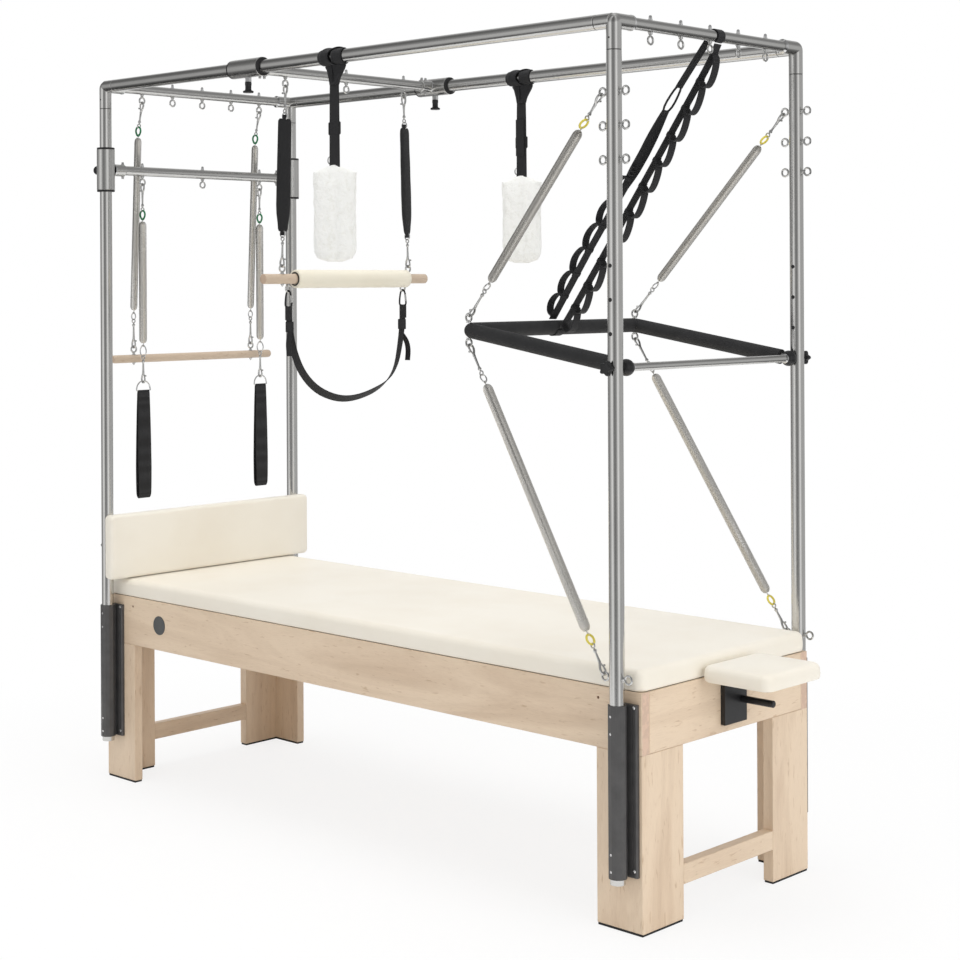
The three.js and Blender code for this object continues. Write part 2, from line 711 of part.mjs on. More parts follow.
piece(bench, "end_cushion_bracket", joined(
  block(point(tableHalfLength, blockY - blockWidth / 2, blockZ), point(blockFace, blockY + blockWidth / 2, endCushionZ)),
  block(point(blockFace - tongueThickness, blockY - blockWidth / 2, endCushionZ - tongueThickness),
    point(blockFace + tongueLength, blockY + blockWidth / 2, endCushionZ)),
  turned([[0, 0], [pegRadius, 0], [pegRadius, pegLength + blockDepth / 2 - pegStep],
    [pegRadius - pegStep, pegLength + blockDepth / 2], [0, pegLength + blockDepth / 2]],
  point(blockFace - blockDepth / 2, pegY, pegZ), AXIS.x, barSides)), blackPlastic());

// Brackets: an extruded clamp and flange, drawn as half an outline and mirrored
const clampBore = boreRadius(tubeRadius, fit, tubeSides);
const clampOut = postY - tableHalfWidth; // board face to post axis
function bracketOutline() {
  const groove = (at) => [[at - grooveWidth / 2, flangeThickness], [at - grooveWidth / 4, flangeThickness - grooveDepth],
    [at + grooveWidth / 4, flangeThickness - grooveDepth], [at + grooveWidth / 2, flangeThickness]];
  const half = [[flangeHalf, 0], [flangeHalf, flangeThickness - flangeEase], [flangeHalf - flangeEase, flangeThickness]];
  const turningIn = [...grooveAt].reverse().filter((at) => at + grooveWidth / 2 < flangeHalf - flangeEase)
    .flatMap((at) => groove(at).reverse());
  const startAngle = Math.asin(Math.min((clampOut - flangeThickness - grooveDepth) / clampRadius, 1));
  const arcSteps = 5;
  const arc = Array.from({ length: arcSteps + 1 }, (_, i) => {
    const angle = -startAngle + ((startAngle + Math.PI / 2) * i) / arcSteps;
    return [clampRadius * Math.cos(angle), clampOut + clampRadius * Math.sin(angle)];
  });
  const rootX = clampRadius * Math.cos(startAngle) + grooveDepth;
  const right = [...half, ...turningIn, [rootX, flangeThickness], ...arc];
  return [...right, ...right.slice(0, -1).reverse().map(([u, v]) => [-u, v])];
}
corners.forEach(([name, sx, sy]) => {
  const middle = bracketZ + bracketHeight / 2;
  const body = slab(bracketOutline().map(([u, v]) => [sy * u, v]), bracketHeight, point(sx * postX, sy * tableHalfWidth, middle),
    AXIS.x, point(0, sy, 0));
  const through = rod(point(sx * postX, sy * postY, bracketZ - overrun),
    point(sx * postX, sy * postY, bracketZ + bracketHeight + overrun), clampBore, tubeSides);
  piece(bench, "bracket_" + name, without(body, through), darkCoat());
});

// Posts with their holes, and on the foot posts the eyebolts that the push-bar springs choose from
const canopy = assembly(table, 0, 0, 0);
const pushEye = (sy, rise) => point(pushX, sy * pushY, pushZ + rise * pushEyeDrop);
const postEye = (sy, z) => point(postX - sideEyeReach, sy * postY, z);
corners.forEach(([name, sx, sy]) => {
  const axis = (z) => point(sx * postX, sy * postY, z);
  const tube = rod(axis(postFootZ), axis(topZ - fittingDrop), tubeRadius, tubeSides);
  const across = (z, radius, direction) => rod(axis(z).addScaledVector(direction, -tubeRadius - overrun),
    axis(z).addScaledVector(direction, tubeRadius + overrun), radius);
  if (sx > 0) {
    const holes = Array.from({ length: plainHoles + 1 }, (_, i) => across(pivotZ + i * holePitch,
      i ? plainHoleRadius : boreRadius(hubStud, fit, pinSides), AXIS.y));
    const eyes = [...postEyeHeights, lowEyeZ].flatMap((z, i) => {
      const target = pushEye(sy, z === lowEyeZ ? -1 : 1);
      const used = i === 0 || z === lowEyeZ ? aimed(postEye(sy, z), target) : AXIS.x;
      return [-1, 1].flatMap((s) => eyebolt(axis(z), point(s, 0, 0), AXIS.y, sideEyeReach, tubeRadius,
        s < 0 ? used : AXIS.x));
    });
    piece(canopy, "post_" + name, joined(without(tube, holes), eyes), polished());
  } else {
    const pinHoles = Array.from({ length: liftHoles }, (_, i) => rod(axis(liftZ - i * holePitch),
      axis(liftZ - i * holePitch).add(point(-tubeRadius - overrun, 0, 0)), boreRadius(plungerPin, fit, pinSides)));
    const padHole = across(padBoltZ, boreRadius(padBoltRadius, fit, pinSides), AXIS.x);
    piece(canopy, "post_" + name, without(tube, padHole, pinHoles), polished());
  }
});
sides.forEach(([side, sy]) => {
  const end = (sx) => point(sx * (postX - fittingAlong), sy * postY, topZ);
  piece(canopy, "top_tube_" + side, rod(end(-1), end(1), tubeRadius, tubeSides), polished());
});

// End cross tubes, each with its two corner fittings and five hanging eyebolts
function cornerFitting(sx, sy) {
  const corner = point(sx * postX, sy * postY, topZ);
  const arm = (direction, length, neck) => {
    const profile = [[0, 0], [tubeRadius, 0], [tubeRadius, length]];
    if (!neck) profile.push([0, length]);
    if (neck) profile.push([neckRadius, length], [neckRadius, length + neck], [0, length + neck]);
    return turned(profile, corner, direction, tubeSides);
  };
  const elbow = new THREE.SphereGeometry(tubeRadius, tubeSides, tubeSides / 2).rotateX(Math.PI / 2);
  return joined(
    solid(elbow, new THREE.Matrix4().setPosition(corner)),
    arm(point(0, 0, -1), fittingDrop, 0),
    arm(point(-sx, 0, 0), fittingAlong, 0),
    arm(point(0, -sy, 0), fittingAcross, neckLength));
}
ends.forEach(([end, sx]) => {
  const axis = (y) => point(sx * postX, y, topZ);
  const eyes = [-2, -1, 0, 1, 2].flatMap((i) =>
    eyebolt(axis(i * eyeSpacing), point(0, 0, -1), AXIS.x, eyeDrop, barRadius));
  piece(canopy, "top_end_" + end, joined(rod(axis(-postY), axis(postY), barRadius, barSides),
    cornerFitting(sx, -1), cornerFitting(sx, 1), eyes), polished());
});

// A sleeve that slides on a tube, with a black bush showing at both ends
function sleeve(middle, direction, length, od) {
  const inner = boreRadius(tubeRadius, slideFit, sleeveSides);
  const r = od / 2;
  const half = length / 2;
  return turned([
    [inner, -half], [r - bushStep, -half], [r - bushStep, -half + bushFlange], [r, -half + bushFlange],
    [r, half - bushFlange], [r - bushStep, half - bushFlange], [r - bushStep, half], [inner, half], [inner, -half],
  ], middle, direction, sleeveSides);
}
// A crossbar between two sleeves: stub couplings, bar and three eyebolts.
function crossbar(middle, sleeveOd) {
  const at = (y) => middle.clone().add(point(0, y, 0));
  const halfBar = postY - sleeveOd / 2 + sink;
  const stubs = sides.map(([, sy]) => rod(at(sy * stubEnd), at(sy * halfBar), stubRadius, barSides));
  const eyes = [-2, 0, 2].flatMap((i) => eyebolt(at(i * eyeSpacing), point(0, 0, -1), AXIS.x, eyeDrop, barRadius));
  return [rod(at(-halfBar), at(halfBar), barRadius, barSides), ...stubs, ...eyes];
}
const pinBore = boreRadius(plungerPin, fit, pinSides);

const carriage = assembly(table, carriageX, 0, topZ);
const carriageParts = sides.map(([, sy]) => {
  const middle = point(carriageX, sy * postY, topZ);
  const down = (z) => middle.clone().add(point(0, 0, -z));
  return without(joined(sleeve(middle, AXIS.x, carriageSleeve, carriageOd),
    rod(down(carriageOd / 2 - sink), down(carriageOd / 2 + collarHeight), collarRadius, nutSides)),
  rod(down(tubeRadius), down(carriageOd / 2 + collarHeight + overrun), pinBore));
});
const carriageBar = joined(crossbar(point(carriageX, 0, topZ), carriageOd));
piece(carriage, "top_carriage", joined(carriageBar, carriageParts), polished());
sides.forEach(([side, sy]) => {
  const foot = -(carriageOd / 2 + collarHeight + fit);
  const tip = -(tubeRadius + fit);
  const knob = assembly(carriage, carriageX, sy * postY, topZ);
  piece(knob, "carriage_knob_" + side, turned([
    [0, tip], [plungerPin, tip], [plungerPin, foot], [plungerStem, foot], [plungerStem, foot - plungerStemLength],
    [plungerFlange, foot - plungerStemLength - plungerFlangeHeight * 0.2],
    [plungerFlange, foot - plungerStemLength - plungerFlangeHeight * 0.8],
    [plungerFlange * 0.8, foot - plungerStemLength - plungerFlangeHeight],
    [0, foot - plungerStemLength - plungerFlangeHeight],
  ], point(carriageX, sy * postY, topZ), AXIS.z, frameSides), blackPlastic());
});

const lift = assembly(table, -postX, 0, liftZ);
const liftCollarEnd = liftOd / 2 + liftCollarHeight;
const liftSleeves = sides.map(([, sy]) => {
  const middle = point(-postX, sy * postY, liftZ);
  const back = (x) => middle.clone().add(point(-x, 0, 0));
  return without(joined(sleeve(middle, AXIS.z, liftSleeve, liftOd),
    rod(back(liftOd / 2 - sink), back(liftCollarEnd), liftCollarRadius, nutSides)),
  rod(back(tubeRadius), back(liftCollarEnd + overrun), pinBore));
});
const liftBar = joined(crossbar(point(-postX, 0, liftZ), liftOd));
piece(lift, "lift_bar", joined(liftBar, liftSleeves), polished());
sides.forEach(([side, sy]) => {
  const start = liftCollarEnd + fit;
  const ballMiddle = ballReach - ballRadius;
  const neck = start + (ballMiddle - start) / 3;
  const arc = [0.4, 0.75, 1].map((share) => {
    const angle = (Math.PI / 2) * share;
    return [ballRadius * Math.cos(angle), ballMiddle + ballRadius * Math.sin(angle)];
  });
  arc[arc.length - 1][0] = 0;
  const knob = assembly(lift, -postX, sy * postY, liftZ);
  piece(knob, "lift_knob_" + side, turned([[0, tubeRadius + fit], [plungerPin, tubeRadius + fit], [plungerPin, start],
    [ballNeck, start], [ballNeck, neck], [ballRadius, ballMiddle], ...arc],
  point(-postX, sy * postY, liftZ), AXIS.x.clone().negate(), frameSides), blackPlastic());
});

// Push-through bar: bent steel frame with hubs, rod and corner eyebolts; foam on the bent bar; star knobs
const pushPivotAt = (sy) => point(postX, sy * pushY, pivotZ);
const pushCorner = (sy) => point(pushX, sy * pushY, pushZ);
// A tube bent square at the bar's two corners, that starts a little way along each arm.
function pushTube(radius, start, sidesCount) {
  const ends = [-1, 1].map((sy) => pushPivotAt(sy).addScaledVector(aimed(pushPivotAt(sy), pushCorner(sy)), start));
  const path = [ends[0], pushCorner(-1), pushCorner(1), ends[1]];
  const armDirection = aimed(pushPivotAt(1), pushCorner(1));
  const upright = armDirection.clone().cross(AXIS.y);
  const rings = path.map((p, i) => Array.from({ length: sidesCount }, (_, k) => {
    const angle = (2 * Math.PI * (k + 0.5)) / sidesCount;
    const inward = radius * Math.cos(angle);
    const across = i < path.length / 2 ? AXIS.y : AXIS.y.clone().negate();
    const turned = p.clone().addScaledVector(upright, radius * Math.sin(angle)).addScaledVector(across, inward);
    return i % 3 ? turned.addScaledVector(armDirection, -inward) : turned;
  }));
  return solid(lofted(rings));
}
const push = assembly(table, postX, 0, pivotZ);
const studBore = boreRadius(hubStud, fit, pinSides);
const hubs = [-1, 1].map((sy) => {
  const hub = solid(new THREE.SphereGeometry(hubRadius, barSides, frameSides / 2 + 1),
    new THREE.Matrix4().setPosition(pushPivotAt(sy)));
  return hub;
});
const hubBores = [-1, 1].map((sy) => rod(point(postX, sy * (pushY + hubRadius - starStudDepth - fit), pivotZ),
  point(postX, sy * (pushY + hubRadius + overrun), pivotZ), studBore));
const pushEyes = [-1, 1].flatMap((sy) => [-1, 1].flatMap((up) => {
  const target = postEye(sy, up > 0 ? postEyeHeights[0] : lowEyeZ);
  return eyebolt(point(pushX, sy * pushY, pushZ), point(0, 0, up), AXIS.y, pushEyeDrop, pushOd / 2,
    aimed(pushEye(sy, up), target));
}));
const pushSkin = boreRadius(pushOd / 2, fit, frameSides);
piece(push, "push_bar", without(joined(pushTube(pushOd / 2, 0, frameSides), hubs,
  rod(point(postX, -pushY, pivotZ), point(postX, pushY, pivotZ), rodOd / 2, frameSides), pushEyes), hubBores), polished());
const foamHoles = [-1, 1].map((sy) => rod(point(pushX, sy * pushY, pushZ - foamOd), point(pushX, sy * pushY, pushZ + foamOd),
  eyeNut + 2 * fit, studSides));
piece(push, "push_bar_foam", without(pushTube(foamOd / 2, foamStart, barSides),
  pushTube(pushSkin, foamStart - overrun, frameSides), foamHoles), foam());
sides.forEach(([side, sy]) => {
  const inner = pushY + hubRadius - starStudDepth;
  const face = postY + tubeRadius + fit;
  const steps = 3 * starLobes;
  const star = Array.from({ length: steps }, (_, i) => {
    const angle = (2 * Math.PI * i) / steps;
    const r = starRadius * (1 + 0.13 * (Math.cos(starLobes * angle) - 1));
    return [r * Math.cos(angle), r * Math.sin(angle)];
  });
  const middle = face + starBossLength + starThickness / 2;
  const out = point(0, sy, 0);
  const group = assembly(table, postX, sy * postY, pivotZ);
  piece(group, "star_knob_" + side, joined(
    rod(point(postX, sy * inner, pivotZ), point(postX, sy * middle, pivotZ), hubStud),
    turned([[0, 0], [starBoss, 0], [starBoss * 1.2, starBossLength + starThickness / 2],
      [0, starBossLength + starThickness / 2]], point(postX, sy * face, pivotZ), out, frameSides),
    slab(star, starThickness, point(postX, sy * middle, pivotZ), AXIS.x, AXIS.z)), blackPlastic());
});

// Push-bar springs, from the foot posts' eyes to the eyes above and below the bar's corners
sides.forEach(([side, sy]) => {
  [["upper", postEyeHeights[0], 1, pushUpperSpring], ["lower", lowEyeZ, -1, pushLowerSpring]].forEach(([level, z, up, spring]) => {
    const start = postEye(sy, z);
    const end = pushEye(sy, up);
    const d = aimed(start, end);
    const flat = point(d.x, 0, d.z).normalize();
    const hookTop = bearing(start, flat);
    const hookFoot = bearing(end, flat.clone().negate());
    const line = aimed(hookTop, hookFoot);
    const claw = line.clone().cross(AXIS.y).normalize();
    const group = assembly(push, end.x, end.y, end.z);
    piece(group, "push_spring_" + level + "_" + side, springLine(hookTop,
      hookTop.clone().addScaledVector(line, pushSnap), hookFoot.clone().addScaledVector(line, -lowerSnap), hookFoot,
      claw, spring), springSteel());
  });
});

// Roll-down bar on its two springs, leaning against the back of the height adjustable crossbar
const rollEyeZ = rolldownZ + rolldownOd / 2 + eyeNutHeight + eyeMajor + eyeWire;
const rolldownEyeY = 2 * eyeSpacing;
const topHook = (x, y, z) => point(x, y, z - eyeDrop - eyeMajor);
const rolldown = assembly(table, -postX, 0, topZ - eyeDrop - eyeMajor);
sides.forEach(([side, sy]) => {
  const hook = topHook(-postX, sy * rolldownEyeY, topZ);
  const hookFoot = point(rolldownX, sy * rolldownEyeY, rollEyeZ + eyeMajor);
  piece(rolldown, "rolldown_spring_" + side, springLine(hook, point(rolldownLean, hook.y, hook.z - rolldownSnap),
    point(rolldownX, hook.y, hookFoot.z + lowerSnap), hookFoot, AXIS.y, rolldownSpring), springSteel());
});
const roundedEnd = (radius, half, round) => [[0, -half], [radius - round, -half], [radius - round * 0.3, -half + round * 0.3],
  [radius, -half + round], [radius, half - round], [radius - round * 0.3, half - round * 0.3], [radius - round, half], [0, half]];
const pointedTip = (axisPoint, radius) => turned([[0, 0], [eyeStud, 0], [eyeStud, tipLength / 2], [0, tipLength]],
  axisPoint.clone().add(point(0, 0, -radius + eyeStud)), point(0, 0, -1), nutSides);
piece(rolldown, "rolldown_bar", joined(
  turned(roundedEnd(rolldownOd / 2, rolldownHalf, rolldownRound), point(rolldownX, 0, rolldownZ), AXIS.y, barSides),
  [-1, 1].flatMap((sy) => {
    const at = point(rolldownX, sy * rolldownEyeY, rolldownZ);
    return [...eyebolt(at, AXIS.z, AXIS.x, rollEyeZ - rolldownZ, rolldownOd / 2),
      pointedTip(at, rolldownOd / 2)];
  })), dowelWood());

// Handles: spring on a height adjustable crossbar's eye, then a webbing loop on a D ring
sides.forEach(([side, sy]) => {
  const y = sy * 2 * eyeSpacing;
  const hook = topHook(-postX, y, liftZ);
  const hookFoot = point(-postX, y, handleTopZ);
  const springGroup = assembly(lift, hook.x, hook.y, hook.z);
  piece(springGroup, "handle_spring_" + side, springLine(hook, hook.clone().add(point(0, 0, -handleSnap)),
    hookFoot.clone().add(point(0, 0, lowerSnap)), hookFoot, AXIS.y, handleSpring, handleRing), springSteel());
  const loopGroup = assembly(springGroup, hookFoot.x, hookFoot.y, hookFoot.z);
  const barZ = -handleDrop;
  const dRing = [[0, 0], [-0.5, -0.1], [-0.87, -0.4], [-1, -0.75], [-1, -1], [1, -1], [1, -0.75], [0.87, -0.4], [0.5, -0.1]]
    .map(([u, v]) => point(-postX, y + u * handleRingHalf, handleTopZ + v * handleDrop));
  const foot = handleFootZ - handleTopZ + strapThickness / 2;
  const wrap = strapThickness * 0.8;
  const half = handleHalfGap;
  const path = [[0, foot], [half * 0.8, foot + half * 0.5], [half, foot + 2 * half], [half, (foot + barZ) / 2],
    [half * 0.8, barZ - 4 * half], [wrap, barZ - wrap], [wrap, barZ], [0, barZ + wrap], [-wrap, barZ], [-wrap, barZ - wrap],
    [-half * 0.8, barZ - 4 * half], [-half, (foot + barZ) / 2], [-half, foot + 2 * half], [-half * 0.8, foot + half * 0.5]];
  piece(loopGroup, "handle_loop_" + side, joined(wireLoop(dRing, AXIS.x, steelRingWire),
    webbingLoop(path, strapThickness, handleWidth, point(-postX, y, handleTopZ), AXIS.x, AXIS.z)), strapBlack());
});

// Trapeze: wooden bar with eyebolts, soft roll, two padded hangers, and a webbing sling under the bar
const trapeze = assembly(carriage, carriageX, 0, topZ - eyeDrop - eyeMajor);
const trapezeEyes = [-1, 1].flatMap((sy) => [
  ...eyebolt(point(carriageX, sy * trapezeEyeY, trapezeZ), AXIS.z, AXIS.x, trapezeEyeRise, trapezeOd / 2),
  pointedTip(point(carriageX, sy * trapezeEyeY, trapezeZ), trapezeOd / 2),
  ...eyebolt(point(carriageX, sy * slingEyeY, trapezeZ), point(0, 0, -1), AXIS.x, slingEyeDrop, trapezeOd / 2),
]);
const chamfered = (radius, half, ease) => [[0, -half], [radius - ease, -half], [radius, -half + ease], [radius, half - ease],
  [radius - ease, half], [0, half]];
piece(trapeze, "trapeze_bar", joined(turned(chamfered(trapezeOd / 2, trapezeHalf, easing), point(carriageX, 0, trapezeZ),
  AXIS.y, barSides), trapezeEyes), dowelWood());
const rollBore = boreRadius(trapezeOd / 2, fit, sleeveSides);
const rollProfile = [[rollBore, -rollHalf], [rollOd / 2 - rollEase, -rollHalf], [rollOd / 2, -rollHalf + rollEase],
  [rollOd / 2, rollHalf - rollEase], [rollOd / 2 - rollEase, rollHalf], [rollBore, rollHalf], [rollBore, -rollHalf]];
const pocketHalf = eyeMajor + eyeWire + 2 * fit;
const rollPocket = block(point(carriageX - eyeNut - 2 * fit, slingEyeY - pocketHalf, trapezeZ - rollOd / 2 - overrun),
  point(carriageX + eyeNut + 2 * fit, slingEyeY + pocketHalf, trapezeZ));
piece(trapeze, "trapeze_roll", without(turned(rollProfile, point(carriageX, rollY, trapezeZ), AXIS.y, sleeveSides), rollPocket),
  vinyl());
sides.forEach(([side, sy]) => {
  const hook = topHook(carriageX, sy * 2 * eyeSpacing, topZ);
  const hookFoot = point(carriageX, sy * trapezeEyeY, trapezeZ + trapezeEyeRise + eyeMajor);
  const line = aimed(hook, hookFoot);
  const onLine = (z) => hook.clone().addScaledVector(line, (hook.z - z) / -line.z);
  const [ringTop, ringFoot] = [onLine(hangerRingZ), onLine(hangerFootZ)];
  const start = ringTop.clone().addScaledVector(line, steelRing);
  const end = ringFoot.clone().addScaledVector(line, -steelRing);
  piece(trapeze, "trapeze_strap_" + side, joined(
    snapHook(hook, ringTop.clone().addScaledVector(line, -steelRing + steelRingWire / 2), AXIS.y),
    ring(ringTop, AXIS.y, line, steelRing, steelRingWire), ring(ringFoot, AXIS.y, line, steelRing, steelRingWire),
    padded(start, end, AXIS.y, hangerShares, hangerHalfWidths, hangerHalfDepths, frameSides),
    snapHook(hookFoot, ringFoot.clone().addScaledVector(line, steelRing - steelRingWire / 2), AXIS.y)), strapBlack());
});
const slingHookZ = trapezeZ - slingEyeDrop - eyeMajor;
const sling = assembly(trapeze, carriageX, 0, slingHookZ);
const clipTopZ = slingHookZ + linkDrop;
const clipFootZ = clipTopZ - clipHeight;
const clips = [-1, 1].map((sy) => wireLoop([[-clipTop, 0], [-clipFoot, -0.75], [-clipFoot, -1], [clipFoot, -1], [clipFoot, -0.8],
  [clipTop, 0]].map(([u, v]) => point(carriageX + u, sy * slingEyeY, clipTopZ + v * clipHeight)), AXIS.y, snapWire));
const slingPath = slingShares.map(([across, down]) =>
  [across * slingEyeY, clipFootZ + snapWire - down * (clipFootZ - slingFootZ)]);
piece(sling, "sling", joined(clips, webbing(slingPath, strapThickness, slingWidth, point(carriageX, 0, 0), AXIS.y, AXIS.z)),
  strapBlack());

// Cuffs: a strap hitched round each long tube, a slide buckle and a fleece loop pressed flat
sides.forEach(([side, sy]) => {
  const axis = (x) => point(x, sy * postY, topZ);
  const inner = boreRadius(tubeRadius, fit, wrapSides);
  const outer = inner + strapThickness;
  const hitch = [-1, 1].map((s) => pipe(axis(cuffX + s * cuffWrapHalf), axis(cuffX + s * (cuffWrapHalf - cuffBand)), outer, inner,
    wrapSides));
  const under = block(point(cuffX - cuffWrapHalf, sy * postY - cuffBand / 2, topZ - outer - strapThickness),
    point(cuffX + cuffWrapHalf, sy * postY + cuffBand / 2, topZ - outer * Math.cos(Math.PI / wrapSides) + strapThickness / 3));
  const strapTop = topZ - outer;
  const strap = block(point(cuffX - cuffStrapWidth / 2, sy * postY - strapThickness, cuffStrapFoot - overrun),
    point(cuffX + cuffStrapWidth / 2, sy * postY + strapThickness, strapTop));
  const buckle = block(point(cuffX - cuffBuckleWidth / 2, sy * postY - cuffBuckleDepth, cuffBuckleZ),
    point(cuffX + cuffBuckleWidth / 2, sy * postY + cuffBuckleDepth, cuffBuckleZ + cuffBuckleHeight));
  const turn = (cuffTurn * Math.PI) / 180;
  const wide = point(Math.cos(turn), Math.sin(turn), 0);
  const soft = padded(point(cuffX, sy * postY, cuffTop), point(cuffX, sy * postY, cuffTop - cuffLength), wide,
    cuffShares, cuffHalfWidths, cuffHalfDepths);
  const group = assembly(table, cuffX, sy * postY, topZ);
  piece(group, "cuff_" + side, joined(hitch, under, strap, buckle, soft), fleece());
});

// Loop strap: a doubled webbing ladder between the foot cross tube and the push-through bar, drawn in a plane
// whose first direction runs down the strap and whose second points to its upper side.
const strapTopAxis = point(postX, loopStrapY, topZ);
const strapFootAxis = point(pushX, loopStrapY, pushZ);
const strapSpan = strapTopAxis.distanceTo(strapFootAxis);
const strapDown = aimed(strapTopAxis, strapFootAxis);
const strapUp = strapDown.clone().cross(AXIS.y);
const halfWeb = loopStrapThickness / 2;
const onStrap = ([along, off]) => [along * strapSpan, off * runSpread];
const ridden = (runShares, along) => {
  const next = runShares.findIndex(([a]) => a >= along);
  const [[a0, o0], [a1, o1]] = [runShares[Math.max(next - 1, 0)], runShares[Math.max(next, 1)]];
  return o0 + ((o1 - o0) * (along - a0)) / (a1 - a0);
};
const flatWebbing = (path, width = loopStrapWidth) =>
  webbing(path, loopStrapThickness, width, strapTopAxis, strapDown, strapUp);
const arcPath = (centreAlong, radius, from, to, steps = 8) => Array.from({ length: steps + 1 }, (_, i) => {
  const angle = from + ((to - from) * i) / steps;
  return [centreAlong + radius * Math.cos(angle), radius * Math.sin(angle)];
});
function sewnLoops(runShares, stitchShares, side) {
  return stitchShares.slice(0, -1).map((start, i) => {
    const end = stitchShares[i + 1];
    const base = (share) => {
      const along = start + (end - start) * share;
      return [along * strapSpan, ridden(runShares, along) * runSpread];
    };
    const bowShares = [[0, 0], [0.25, 0.95], [0.75, 0.95], [1, 0]];
    return flatWebbing(bowShares.map(([share, bow]) => {
      const [u, v] = base(share);
      return [u, v + side * bow * loopHeight];
    }));
  });
}
const tubeWrap = barRadius + fit + halfWeb;
const foamWrap = foamOd / 2 + fit + halfWeb;
const run = (shares) => shares.map(onStrap);
const lowerRun = run(lowerRunShares);
const upperRun = run(upperRunShares);
const quarter = Math.PI / 2;
const topWrap = arcPath(0, tubeWrap / Math.cos(Math.PI / barSides), quarter * 0.5, quarter * 3.6, 8);
const footWrap = arcPath(strapSpan, foamWrap / Math.cos(Math.PI / barSides), -quarter * 1.35, quarter * 1.35, 8);
const strapLines = [
  flatWebbing([...topWrap, ...lowerRun.slice(1, -1), ...footWrap, ...[...upperRun].reverse().slice(1, -1)]),
];
const hardware = [buckleShare, ...linkShares].map((share, i) => {
  const [u, v] = [share * strapSpan, ridden(upperRunShares, share) * runSpread];
  const centre = strapTopAxis.clone().addScaledVector(strapDown, u).addScaledVector(strapUp, v);
  const half = (i ? buckleLength / 3 : buckleLength) / 2;
  return slab([[-half, -buckleDepth / 2], [half, -buckleDepth / 2], [half, buckleDepth / 2], [-half, buckleDepth / 2]],
    i ? loopStrapWidth + buckleDepth : buckleWidth, centre, strapDown, strapUp);
});
const strapBody = joined(strapLines, sewnLoops(lowerRunShares, lowerLoopShares, -1),
  sewnLoops(upperRunShares, upperLoopShares, 1), hardware);
const skew = new THREE.Matrix4().makeTranslation(-postX, 0, 0)
  .premultiply(new THREE.Matrix4().set(1, 0, 0, 0, loopStrapShift / (pushX - postX), 1, 0, 0, 0, 0, 1, 0, 0, 0, 0, 1))
  .premultiply(new THREE.Matrix4().makeTranslation(postX, 0, 0));
const strapGroup = assembly(push, pushX, 0, pushZ);
piece(strapGroup, "loop_strap", strapBody.transform(skew.elements), strapBlack());

console.log("least gap between spring turns: " + Math.min(...springGaps).toFixed(2) + " mm");

// The end cushion reaches further from the posts than the roll-down bar, so the table moves over by half of that.
table.position.x = -(endCushionX + endCushionLength + rolldownX - rolldownOd / 2) / 2;

export default table;
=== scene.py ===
"""Looks of the pilates trapeze table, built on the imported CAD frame.

Lengths are millimetres in the CAD source's table frame: +X towards the push-through bar, -Y the near side and +Z up.
Piece.make moves them into the row frame, in metres.
"""

from __future__ import annotations

import json
import logging
import math
from dataclasses import dataclass
from enum import Enum
from typing import Iterable, Sequence

